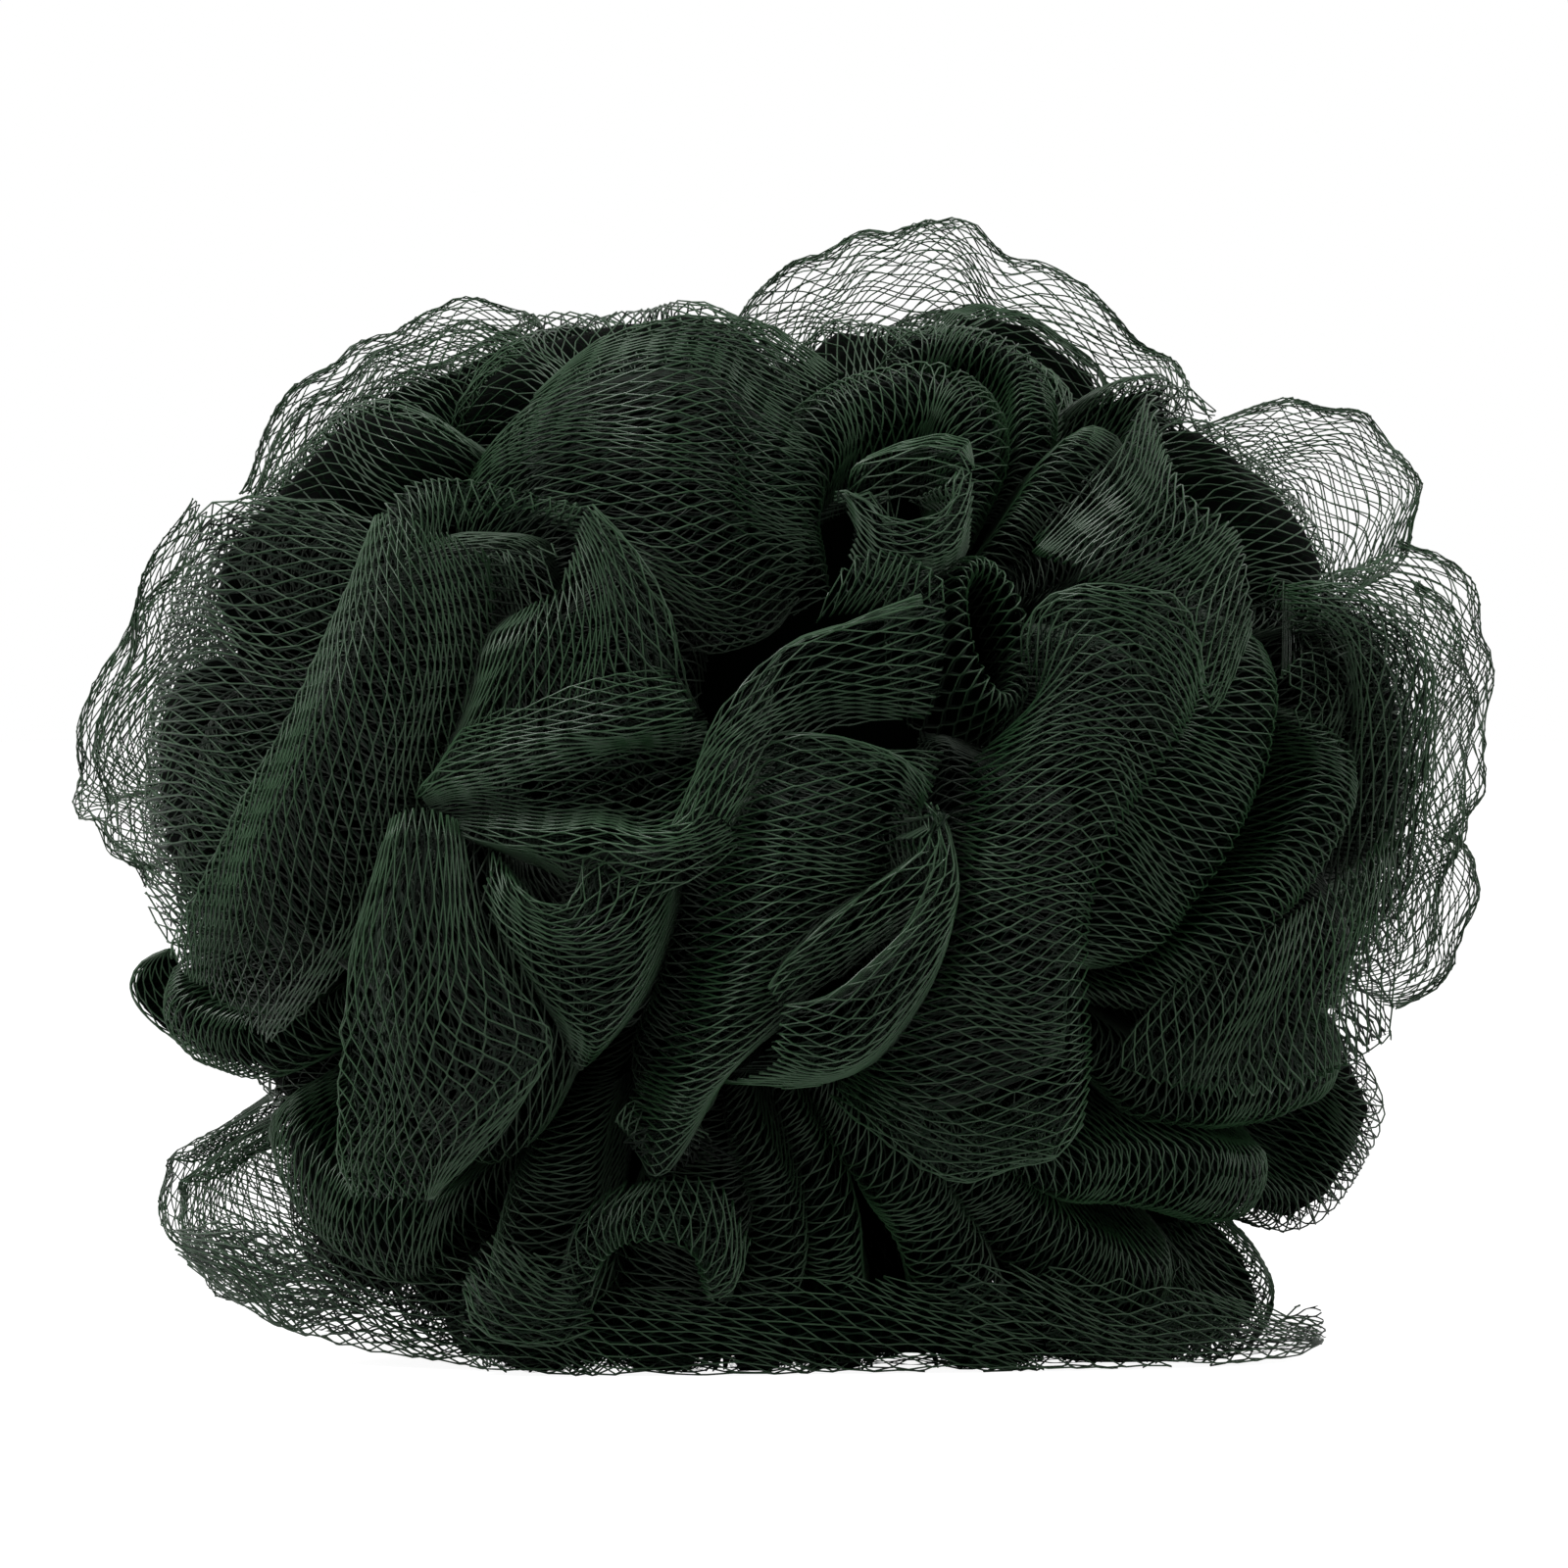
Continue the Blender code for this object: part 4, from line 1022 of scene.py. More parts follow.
        ((842, 605, 0.86), (870, 590, 0.9), (900, 592, 0.92), (930, 600, 0.92), (960, 610, 0.91)),
        ((818, 640, 0.83), (850, 627, 0.87), (885, 624, 0.9), (920, 620, 0.91), (957, 614, 0.9)))),
    Drape("crown_far_wall", Region.CROWN, (
        ((862, 500, 0.77), (872, 479, 0.8), (905, 467, 0.81), (945, 463, 0.82), (975, 468, 0.83),
        (986, 484, 0.82)),
        ((874, 508, 0.77), (888, 496, 0.78), (915, 489, 0.78), (945, 488, 0.78), (968, 491, 0.79),
        (981, 499, 0.8)),
        ((884, 522, 0.77), (900, 516, 0.74), (920, 512, 0.73), (945, 511, 0.74), (962, 512, 0.76),
        (975, 513, 0.79))), 82),
    Drape("lobe_sheet", Region.CROWN, (
        ((556, 396, 0.4), (612, 346, 0.45), (680, 326, 0.47), (735, 323, 0.47), (790, 336, 0.46),
        (862, 380, 0.44)),
        ((538, 432, 0.6), (606, 400, 0.66), (680, 384, 0.69), (732, 388, 0.68), (772, 404, 0.63),
        (838, 432, 0.6)),
        ((535, 492, 0.66), (603, 480, 0.78), (680, 475, 0.83), (736, 480, 0.81), (774, 492, 0.74),
        (826, 500, 0.71)),
        ((585, 560, 0.66), (650, 566, 0.81), (700, 570, 0.84), (746, 571, 0.81), (786, 572, 0.75),
        (828, 572, 0.73)),
        ((640, 640, 0.68), (690, 656, 0.77), (728, 660, 0.79), (764, 650, 0.77), (795, 636, 0.73),
        (815, 612, 0.71))), 80, (True, True), 0.0012),
    Drape("far_left_sheet", Region.LEFT, (
        ((196, 545, 0.34), (222, 516, 0.42), (285, 508, 0.51), (345, 514, 0.58), (396, 535, 0.62)),
        ((176, 620, 0.4), (220, 603, 0.52), (280, 598, 0.6), (340, 598, 0.64), (392, 600, 0.66)),
        ((158, 720, 0.4), (202, 720, 0.54), (258, 720, 0.62), (308, 714, 0.64), (345, 700, 0.64)),
        ((148, 830, 0.38), (188, 842, 0.5), (230, 850, 0.56), (266, 840, 0.58), (292, 818, 0.58)),
        ((162, 935, 0.32), (182, 955, 0.42), (205, 968, 0.46), (226, 960, 0.48),
        (244, 938, 0.5))), 76, (True, True), 0.00135),
    Drape("roll_sheet", Region.LEFT, (
        ((396, 520, 0.8), (368, 590, 0.8), (322, 690, 0.79), (266, 795, 0.75), (218, 890, 0.67),
        (182, 965, 0.56)),
        ((428, 526, 0.88), (404, 610, 0.92), (356, 718, 0.92), (298, 826, 0.87), (246, 922, 0.77),
        (208, 992, 0.62)),
        ((468, 540, 0.9), (452, 644, 0.935), (406, 756, 0.93), (342, 866, 0.88), (278, 954, 0.79),
        (236, 1016, 0.63)),
        ((500, 556, 0.86), (500, 668, 0.89), (464, 780, 0.88), (404, 886, 0.85), (334, 980, 0.77),
        (268, 1044, 0.61)),
        ((508, 560, 0.8), (514, 676, 0.82), (484, 790, 0.81), (424, 896, 0.78), (352, 992, 0.71),
        (284, 1056, 0.56))), -62, (True, True)),
    Drape("brow_sheet", Region.RIGHT, (
        ((1168, 396, 0.46), (1176, 450, 0.6), (1200, 500, 0.71), (1244, 536, 0.76), (1262, 584, 0.78),
        (1266, 645, 0.79)),
        ((1142, 440, 0.56), (1152, 490, 0.69), (1174, 530, 0.77), (1210, 570, 0.81), (1232, 622, 0.83),
        (1240, 700, 0.83)),
        ((1104, 484, 0.6), (1112, 522, 0.71), (1128, 560, 0.79), (1168, 590, 0.83), (1208, 630, 0.85),
        (1222, 720, 0.85)),
        ((1046, 545, 0.62), (1052, 572, 0.7), (1084, 590, 0.78), (1130, 596, 0.8), (1186, 610, 0.81),
        (1214, 664, 0.81))), 12),
    Drape("arch_ribbon", Region.RIGHT, (
        ((1298, 596, 0.55), (1345, 591, 0.61), (1388, 602, 0.63), (1428, 632, 0.63), (1450, 692, 0.61),
        (1450, 772, 0.59), (1438, 862, 0.57), (1424, 935, 0.55)),
        ((1302, 612, 0.58), (1340, 606, 0.64), (1378, 618, 0.66), (1406, 650, 0.665), (1420, 702, 0.655),
        (1417, 772, 0.635), (1406, 862, 0.61), (1394, 935, 0.59)),
        ((1304, 636, 0.56), (1334, 624, 0.61), (1360, 638, 0.63), (1377, 668, 0.635), (1387, 710, 0.63),
        (1382, 772, 0.61), (1368, 852, 0.59), (1352, 925, 0.58)),
        ((1306, 660, 0.5), (1330, 646, 0.54), (1350, 656, 0.56), (1364, 684, 0.56), (1372, 720, 0.56),
        (1366, 776, 0.55), (1350, 850, 0.54), (1332, 920, 0.54))), 82, (True, True), 0.0013),
    Drape("flank_sheet", Region.RIGHT, (
        ((1126, 1074, 0.76), (1200, 1098, 0.79), (1276, 1102, 0.75), (1352, 1081, 0.67),
        (1414, 1052, 0.56)),
        ((1146, 1030, 0.8), (1214, 1050, 0.83), (1284, 1046, 0.79), (1352, 1016, 0.71), (1420, 985, 0.6)),
        ((1188, 985, 0.79), (1250, 985, 0.81), (1310, 966, 0.77), (1366, 931, 0.71), (1424, 900, 0.6)),
        ((1232, 948, 0.74), (1280, 928, 0.75), (1326, 902, 0.71), (1372, 868, 0.65),
        (1418, 828, 0.56))), 6),
    Drape("hood_sheet", Region.FOOT, (
        ((597, 1326, 0.86), (602, 1282, 0.91), (622, 1251, 0.93), (652, 1240, 0.935), (692, 1244, 0.93),
        (718, 1266, 0.91), (727, 1305, 0.87)),
        ((578, 1296, 0.83), (588, 1247, 0.89), (624, 1216, 0.91), (666, 1205, 0.92), (710, 1211, 0.91),
        (742, 1238, 0.89), (755, 1296, 0.85)),
        ((588, 1236, 0.8), (614, 1202, 0.84), (650, 1181, 0.87), (681, 1171, 0.88), (714, 1173, 0.87),
        (743, 1192, 0.84), (770, 1246, 0.79))), 6),
    Drape("finger_sheet", Region.FOOT, (
        ((484, 1300, 0.86), (496, 1332, 0.88), (530, 1347, 0.89), (576, 1349, 0.89), (614, 1332, 0.87)),
        ((490, 1264, 0.88), (509, 1290, 0.91), (540, 1306, 0.915), (576, 1306, 0.91), (610, 1290, 0.89)),
        ((503, 1232, 0.86), (524, 1245, 0.885), (550, 1252, 0.89), (580, 1250, 0.885),
        (606, 1240, 0.87))), 76),
    Drape("hem_middle", Region.FOOT, (
        ((486, 1368, 0.8), (560, 1375, 0.84), (640, 1377, 0.85), (740, 1377, 0.82), (860, 1377, 0.78),
        (960, 1378, 0.74), (1060, 1379, 0.69)),
        ((476, 1318, 0.82), (560, 1330, 0.86), (640, 1336, 0.87), (740, 1330, 0.84), (860, 1330, 0.8),
        (960, 1335, 0.77), (1060, 1340, 0.72)),
        ((484, 1280, 0.78), (560, 1290, 0.82), (640, 1292, 0.82), (740, 1280, 0.79), (860, 1280, 0.76),
        (960, 1290, 0.74), (1060, 1300, 0.7))), 70, backed=True),
    Drape("hem_right", Region.FOOT, (
        ((990, 1378, 0.74), (1100, 1379, 0.67), (1200, 1379, 0.59), (1290, 1376, 0.49), (1346, 1366, 0.3)),
        ((975, 1320, 0.78), (1090, 1330, 0.71), (1190, 1336, 0.63), (1280, 1340, 0.53), (1345, 1354, 0.38)),
        ((950, 1260, 0.78), (1070, 1275, 0.72), (1170, 1292, 0.64), (1262, 1310, 0.54),
        (1342, 1342, 0.38))), 74, (True, False), 0.0012),
    Drape("hem_left", Region.FOOT, (
        ((188, 1288, 0.14), (262, 1334, 0.32), (330, 1354, 0.46), (400, 1366, 0.56), (500, 1374, 0.68)),
        ((180, 1268, 0.22), (252, 1282, 0.4), (324, 1300, 0.54), (400, 1312, 0.64), (498, 1316, 0.72)),
        ((182, 1252, 0.22), (250, 1228, 0.42), (322, 1238, 0.56), (400, 1256, 0.66),
        (496, 1264, 0.73))), 72, (True, False), 0.00135),
)

RIMS = (
    Rim("left_hem_rim", Region.LEFT, ((118, 985), (130, 1014), (164, 1050), (196, 1068), (230, 1076),
                                      (264, 1070)), 8),
)


@dataclass
class MeshParts:
    """Vertices and faces gathered from many small pieces, to be made one mesh."""

    points: list = field(default_factory=list)
    quads: list = field(default_factory=list)
    caps: list = field(default_factory=list)
    flat: list = field(default_factory=list)
    openness: list = field(default_factory=list)
    count: int = 0

    def add(self, points: np.ndarray, quads: np.ndarray, caps: list, flat: np.ndarray,
            openness: np.ndarray) -> None:
        """Adds a piece.

        Args:
            points: its vertices.
            quads: its four-sided faces.
            caps: its other faces.
            flat: for each vertex, its place on the flat net, in cells.
            openness: for each vertex, how open it lies to the light, from 0 to 1, painted as shade.
        """
        self.points.append(points)
        self.quads.append(quads + self.count)
        self.caps += [cap + self.count for cap in caps]
        self.flat.append(flat)
        self.openness.append(openness)
        self.count += len(points)

    def tree(self) -> BVHTree:
        """Makes a search tree of the gathered pieces."""
        faces = np.concatenate(self.quads).tolist() + [cap.tolist() for cap in self.caps]
        return BVHTree.FromPolygons(np.concatenate(self.points).tolist(), faces)

    def make(self, name: str) -> bpy.types.Object:
        """Makes the gathered pieces one object with a UV map of places on the flat net."""
        points = np.concatenate(self.points)
        quads = np.concatenate(self.quads)
        flat = np.concatenate(self.flat)
        totals = np.array([4] * len(quads) + [len(cap) for cap in self.caps])
        corners = np.concatenate([quads.ravel(), *self.caps]).astype(int)
        mesh = bpy.data.meshes.new(name)
        mesh.vertices.add(len(points))
        mesh.vertices.foreach_set("co", points.ravel())
        mesh.loops.add(len(corners))
        mesh.loops.foreach_set("vertex_index", corners)
        mesh.polygons.add(len(totals))
        mesh.polygons.foreach_set("loop_start", np.concatenate([[0], np.cumsum(totals)[:-1]]))
        mesh.polygons.foreach_set("loop_total", totals)
        mesh.polygons.foreach_set("use_smooth", totals == 4)
        mesh.update(calc_edges=True)
        layer = mesh.uv_layers.new(name="flat_net")
        layer.data.foreach_set("uv", flat[corners].ravel())
        # Painted shade: how open each vertex lies to the light, which darkens the materials' colours.
        light = mesh.attributes.new("openness", "FLOAT", "POINT")
        light.data.foreach_set("value", np.concatenate(self.openness).astype(np.float32))
        piece = bpy.data.objects.new(name, mesh)
        bpy.context.scene.collection.objects.link(piece)
        return piece


def runs_of(stays: np.ndarray) -> tuple[np.ndarray, np.ndarray]:
    """Finds where unbroken runs of kept points start and end. Each row is one strand.

    Args:
        stays: True at each kept point.

    Returns:
        True at each run's first point, and True at its last.
    """
    empty = np.zeros((len(stays), 1), bool)
    before = np.concatenate([empty, stays[:, :-1]], axis=1)
    after = np.concatenate([stays[:, 1:], empty], axis=1)
    return stays & ~before, stays & ~after


def strand_places(patch: Patch, slant: int) -> tuple[np.ndarray, np.ndarray, np.ndarray]:
    """Lays one family of parallel strands on a flat patch.

    Strands of the two families run side by side for a short way wherever they meet, and cross over
    quickly in between, which makes the long six-sided cells of extruded net.

    Args:
        patch: the sheet.
        slant: 1 or -1, the family's lean to either side of the cells' long way.

    Returns:
        Places along the patch and across it, one strand a row, and True for places on the patch.
    """
    grain = math.radians(patch.grain)
    low, high = np.array([0.0, -patch.shown]), np.array([patch.length, patch.shown])
    corners = np.array([(u, v) for u in (low[0], high[0]) for v in (low[1], high[1])])
    across = corners @ np.array([math.cos(grain), -math.sin(grain)])
    onward = corners @ np.array([math.sin(grain), math.cos(grain)])
    half = patch.cell_length / 2
    width = patch.cell_width
    if patch.closed:
        width = patch.length / round(patch.length / width)
    turns = FINE_TURNS if patch.fine else STRAIGHT_TURNS if patch.coarse else TURNS
    count = np.arange(math.floor(onward.min() / half), math.ceil(onward.max() / half))
    steps = (count[:, None] + np.array([t for t, _ in turns])).ravel()
    shifts = slant * width / 2 * (count[:, None] + np.array([f for _, f in turns])).ravel()
    if patch.closed:
        strands = np.arange(round(patch.length / width))
    else:
        strands = np.arange(math.floor((across.min() - shifts.max()) / width),
                            math.ceil((across.max() - shifts.min()) / width) + 1)
    c = strands[:, None] * width + shifts[None, :]
    w = np.broadcast_to(steps * half, c.shape)
    if not patch.closed:
        start = sum(map(ord, patch.name))
        bunched = BUNCHING * np.sin(c / BUNCH_LENGTH + 0.35 * w / BUNCH_LENGTH + start)
        c = c + bunched + WANDER * np.sin(w / WANDER_LENGTH + 0.5 * c / WANDER_LENGTH + 2 * start)
    u = c * math.cos(grain) + w * math.sin(grain)
    v = w * math.cos(grain) - c * math.sin(grain)
    inside = np.abs(v) <= patch.shown
    if not patch.closed:
        inside &= (u >= 0) & (u <= patch.length)
    return u, v, inside


class Depths:
    """Tells which points lie hidden inside the folds or deep between them."""

    def __init__(self, patches: list[Patch]) -> None:
        """Takes the inner layers of all the patches as closed bodies."""
        bodies, sheets = MeshParts(), MeshParts()
        for patch in patches:
            if patch.inner:
                shell = inner_shell(patch)
                bodies.add(*shell)
                sheets.add(*shell)
            elif patch.sheer:
                sheets.add(*sheer_sheet(patch))
        self.tree = bodies.tree()
        self.sheets = sheets.tree()

    def set_openness(self, patch: Patch) -> None:
        """Works out how open a patch lies to the light: the share of ways out that nothing bars. The
        materials paint shade from it, darker where it is low.

        Args:
            patch: the sheet, which keeps the result for each of its grid's points.
        """
        count, across = patch.points.shape[:2]
        rows, columns = even_picks(count, OPENNESS_STRIDE), even_picks(across, OPENNESS_STRIDE)
        points = patch.points[rows][:, columns].reshape(-1, 3)
        starts = points + patch.normals()[rows][:, columns].reshape(-1, 3) * OPENNESS_LIFT
        clear = np.zeros(len(points))
        cast = self.sheets.ray_cast
        ways = self.ways_out(points)
        for k, start in enumerate(starts.tolist()):
            spot = Vector(start)
            clear[k] = sum(cast(spot, Vector(way), OPENNESS_REACH)[0] is None for way in ways[k].tolist())
        grid = (clear / ways.shape[1]).reshape(len(rows), len(columns))
        padded = np.pad(grid, 1, mode="edge")
        grid = (2 * grid + padded[:-2, 1:-1] + padded[2:, 1:-1] + padded[1:-1, :-2] + padded[1:-1, 2:]) / 6
        along = np.stack([np.interp(np.arange(count), rows, column) for column in grid.T], axis=1)
        patch.openness = np.stack([np.interp(np.arange(across), columns, row) for row in along])

    @staticmethod
    def ways_out(points: np.ndarray) -> np.ndarray:
        """Gives the directions in which each point looks outward.

        Args:
            points: the points.

        Returns:
            For each point, one unit vector a row.
        """
        outward = unit(points - CENTRE)
        aside = unit(np.cross(outward, [0.0, 0.6, 0.8]))
        above = np.cross(outward, aside)
        ways = [outward]
        for tilt in LOOK_TILTS:
            for k in range(LOOK_TURNS):
                turn = 2 * math.pi * (k + tilt) / LOOK_TURNS
                sideways = aside * math.cos(turn) + above * math.sin(turn)
                ways.append(outward * math.cos(tilt) + sideways * math.sin(tilt))
        return np.stack(ways, axis=1)

    def fronts(self, points: np.ndarray) -> np.ndarray:
        """Finds how far forward the folds reach at points, seen from the front.

        Args:
            points: the points.

        Returns:
            The y of the first body in front of each point.
        """
        found = []
        for x, _, z in points.tolist():
            spot, _, _, _ = self.tree.ray_cast(Vector((x, -DEPTH, z)), Vector((0.0, 1.0, 0.0)))
            found.append(0.0 if spot is None else spot.y)
        return np.array(found)

    def shows(self, points: np.ndarray) -> np.ndarray:
        """Tells for each point whether enough straight ways lead out from it.

        Args:
            points: the points.

        Returns:
            True for each point that shows.
        """
        ways = self.ways_out(points)
        shown = np.zeros(len(points), bool)
        cast = self.tree.ray_cast
        for k, point in enumerate(points.tolist()):
            clear = 0
            start = Vector(point)
            for way in ways[k].tolist():
                if cast(start, Vector(way), LOOK_REACH)[0] is None:
                    clear += 1
                    if clear == LEAST_CLEAR_WAYS:
                        shown[k] = True
                        break
        return shown


def thin_out(middle: np.ndarray, first: np.ndarray, last: np.ndarray, detail: float) -> np.ndarray:
    """Picks the points that a strand needs: more where it bends, fewer where it runs straight.

    Args:
        middle: the points of all strands in a row.
        first: True at each strand's first point.
        last: True at each strand's last point.
        detail: how much bend and length a segment may take, as a share of the usual.

    Returns:
        True at each point that stays.
    """
    ahead = np.roll(middle, -1, axis=0) - middle
    ahead[last] = np.roll(ahead, 1, axis=0)[last]
    length = np.linalg.norm(ahead, axis=1)
    way = unit(ahead)
    before = np.roll(way, 1, axis=0)
    bend = np.degrees(np.arccos(np.clip((way * before).sum(axis=1), -1, 1)))
    bend[first | last] = 0
    cost = (bend / SEGMENT_BEND + np.roll(length, 1) / SEGMENT_LENGTH) / detail
    cost[first] = 0
    total = np.cumsum(cost)
    strand = np.cumsum(first) - 1
    spent = np.floor(total - total[first][strand])
    step = np.zeros(len(middle), bool)
    step[1:] = spent[1:] > spent[:-1]
    return step | first | last


def weave(parts: MeshParts, patch: Patch, depths: Depths) -> float:
    """Lays both families of strands over a patch.

    Args:
        parts: the mesh that the strands join.
        patch: the sheet.
        depths: what tells which points are hidden.

    Returns:
        The length of strand that it took.
    """
    normals = patch.normals()
    radius = patch.radius
    strand_length = 0.0
    for slant in (1, -1):
        u, v, stays = strand_places(patch, slant)
        where = np.nonzero(stays)
        middle = patch.sample(patch.points, u[where], v[where])
        stays[where] = middle[:, 2] > 0
        seen = np.zeros(stays.shape, bool)
        seen[where] = depths.shows(middle) & stays[where]
        seen[:, 1:-1] |= (seen[:, 2:] | seen[:, :-2]) & stays[:, 1:-1]
        first, last = runs_of(seen)
        seen &= ~(first & last)
        where = np.nonzero(seen)
        u, v, first, last = u[where], v[where], first[where], last[where]
        if not len(u):
            continue
        if patch.coarse:
            kept = thin_out(patch.sample(patch.points, u, v), first, last, patch.coarse)
            u, v, first, last = u[kept], v[kept], first[kept], last[kept]
        normal = unit(patch.sample(normals, u, v))
        middle = patch.sample(patch.points, u, v) + normal * slant * radius * 0.5
        middle[:, 2] = np.maximum(middle[:, 2], radius)
        ahead = np.roll(middle, -1, axis=0)
        ahead[last] = middle[last]
        behind = np.roll(middle, 1, axis=0)
        behind[first] = middle[first]
        strand_length += float(np.linalg.norm(ahead - middle, axis=1).sum())
        tangent = unit(ahead - behind)
        aside = unit(np.cross(tangent, normal))
        up = np.cross(aside, tangent)
        turns = [math.pi / 2 + 2 * math.pi * k / STRAND_SIDES for k in range(STRAND_SIDES)]
        rings = [middle + radius * (up * math.sin(turn) + aside * math.cos(turn)) for turn in turns]
        points = np.stack(rings, axis=1).reshape(-1, 3)
        step = np.nonzero(~last)[0] * STRAND_SIDES
        quads = []
        for k in range(STRAND_SIDES):
            j = (k + 1) % STRAND_SIDES
            quads.append(np.stack([step + k, step + j, step + STRAND_SIDES + j, step + STRAND_SIDES + k],
                                  axis=1))
        cap = np.arange(STRAND_SIDES)
        caps = [start * STRAND_SIDES + cap[::-1] for start in np.nonzero(first)[0]]
        caps += [end * STRAND_SIDES + cap for end in np.nonzero(last)[0]]
        flat = np.stack([u / patch.cell_width, v / patch.cell_length], axis=1)
        # How open each point lies to the light, which paints shade into the strands' colour.
        openness = patch.sample(patch.openness[..., None], u, v)[:, 0]
        parts.add(points, np.concatenate(quads), caps, np.repeat(flat, STRAND_SIDES, axis=0),
                  np.repeat(openness, STRAND_SIDES))
    return strand_length


def sunk(patch: Patch, inset: float) -> tuple[np.ndarray, np.ndarray]:
    """Gives the grid of a layer under a patch, with no point below the floor.

    Args:
        patch: the sheet.
        inset: how far the layer lies under the sheet.

    Returns:
        The grid's points, and how open each lies to the light, for the painted shade.
    """
    points = patch.points - patch.normals() * inset
    points[..., 2] = np.maximum(points[..., 2], STRAND_RADIUS)
    return points, np.zeros(points.shape[:2]) if patch.openness is None else patch.openness


def inner_shell(patch: Patch) -> Layer:
    """Gives a patch's innermost layer as a closed body.

    Args:
        patch: the sheet.

    Returns:
        The layer, with its places on the flat net in cells.
    """
    points, openness = sunk(patch, patch.depth)
    rows = even_picks(points.shape[0], INNER_STRIDE)
    columns = even_picks(points.shape[1], INNER_STRIDE)
    u = rows / (points.shape[0] - 1) * patch.length / patch.cell_width
    v = (columns / (points.shape[1] - 1) * 2 - 1) * patch.reach / patch.cell_length
    flat = np.stack(np.meshgrid(u, v, indexing="ij"), axis=-1)
    points, openness = points[rows][:, columns], openness[rows][:, columns]
    if patch.closed:
        points, flat = points[:-1].transpose(1, 0, 2), flat[:-1].transpose(1, 0, 2)
        openness = openness[:-1].T
    count, across = points.shape[:2]
    index = np.arange(count * across).reshape(count, across)
    turned = np.roll(index, -1, axis=1)
    quads = np.stack([index[:-1], index[1:], turned[1:], turned[:-1]], axis=-1).reshape(-1, 4)
    caps = [index[0], index[-1][::-1]]
    if patch.closed:
        quads, caps = quads[:, ::-1], [cap[::-1] for cap in caps]
    return points.reshape(-1, 3), quads, caps, flat.reshape(-1, 2), openness.ravel()


def sheer_sheet(patch: Patch) -> Layer:
    """Gives a patch's sheer layer as an open sheet, with its cells turned against the strands'.

    Args:
        patch: the sheet.

    Returns:
        The layer, with its places on the flat net in cells.
    """
    points, openness = sunk(patch, patch.depth * SHEER_SHARE)
    rows = even_picks(points.shape[0], INNER_STRIDE)
    kept = max(1, int((1 - patch.shown / patch.reach) / 2 * points.shape[1]))
    columns = even_picks(points.shape[1], INNER_STRIDE)
    columns = columns[(columns >= kept) & (columns <= points.shape[1] - 1 - kept)]
    u = rows / (points.shape[0] - 1) * patch.length
    v = (columns / (points.shape[1] - 1) * 2 - 1) * patch.reach
    u, v = np.meshgrid(u, v, indexing="ij")
    angle = math.radians(patch.grain + SHEER_TURN)
    across, onward = u * math.cos(angle) - v * math.sin(angle), u * math.sin(angle) + v * math.cos(angle)
    if patch.closed:
        across, onward = u, v
    flat = np.stack([across / patch.cell_width, onward / patch.cell_length], axis=-1) + SHEER_TURN
    points, openness = points[rows][:, columns], openness[rows][:, columns]
    index = np.arange(points.shape[0] * points.shape[1]).reshape(points.shape[:2])
    quads = np.stack([index[:-1, :-1], index[1:, :-1], index[1:, 1:], index[:-1, 1:]], axis=-1)
    return (points.reshape(-1, 3), quads.reshape(-1, 4)[:, ::-1], [], flat.reshape(-1, 2),
            openness.ravel())


def triangles(piece: bpy.types.Object) -> int:
    """Counts a piece's triangles."""
    return len(piece.data.loops) - 2 * len(piece.data.polygons)


def even_picks(count: int, stride: int) -> np.ndarray:
    """Picks about every stride-th of count places, with both ends."""
    return np.unique(np.linspace(0, count - 1, max(4, 1 + count // stride)).astype(int))


class Nodes:
    """Short ways to add nodes to one node tree."""

    def __init__(self, tree: bpy.types.NodeTree) -> None:
        """Keeps the tree."""
        self.tree = tree

    def add(self, kind: str, **values: object) -> bpy.types.Node:
        """Adds a node of a kind and sets its properties."""
        node = self.tree.nodes.new(kind)
        for name, value in values.items():
            setattr(node, name, value)
        return node

    def join(self, source: object, target: object) -> None:
        """Links an output to an input."""
        self.tree.links.new(source, target)

    def noise(self, detail: float, scale: object) -> object:
        """Adds a Noise texture on Object coordinates and gives its values."""
        place = self.add("ShaderNodeTexCoord")
        noise = self.add("ShaderNodeTexNoise")
        noise.inputs["Detail"].default_value = detail
        self.join(place.outputs["Object"], noise.inputs["Vector"])
        self.join(scale, noise.inputs["Scale"])
        return noise.outputs["Fac"]

    def math(self, operation: str, first: object, second: object = None) -> object:
        """Adds a Math node on sockets or numbers and gives its output."""
        node = self.add("ShaderNodeMath", operation=operation)
        for socket, value in zip(node.inputs, (first, second)):
            if value is None:
                continue
            if isinstance(value, (int, float)):
                socket.default_value = value
            else:
                self.join(value, socket)
        return node.outputs[0]

    def mix(self, factor: object, first: object, second: object) -> object:
        """Adds a colour mix of sockets or colours and gives its output."""
        node = self.add("ShaderNodeMix", data_type="RGBA")
        for socket, value in ((node.inputs[0], factor), (node.inputs[6], first), (node.inputs[7], second)):
            if isinstance(value, (int, float, tuple)):
                socket.default_value = value
            else:
                self.join(value, socket)
        return node.outputs[2]


def open_group(name: str, inputs: dict, outputs: dict) -> tuple[Nodes, bpy.types.Node, bpy.types.Node]:
    """Starts a shader node group.

    Args:
        name: the group's name.
        inputs: for each input its kind of socket and its value, or None.
        outputs: for each output its kind of socket.

    Returns:
        The group's nodes, its input node and its output node.
    """
    group = bpy.data.node_groups.new(name, "ShaderNodeTree")
    for label, (kind, value) in inputs.items():
        socket = group.interface.new_socket(label, in_out="INPUT", socket_type=f"NodeSocket{kind}")
        if value is not None:
            socket.default_value = value
    for label, kind in outputs.items():
        group.interface.new_socket(label, in_out="OUTPUT", socket_type=f"NodeSocket{kind}")
    nodes = Nodes(group)
    return nodes, nodes.add("NodeGroupInput"), nodes.add("NodeGroupOutput")


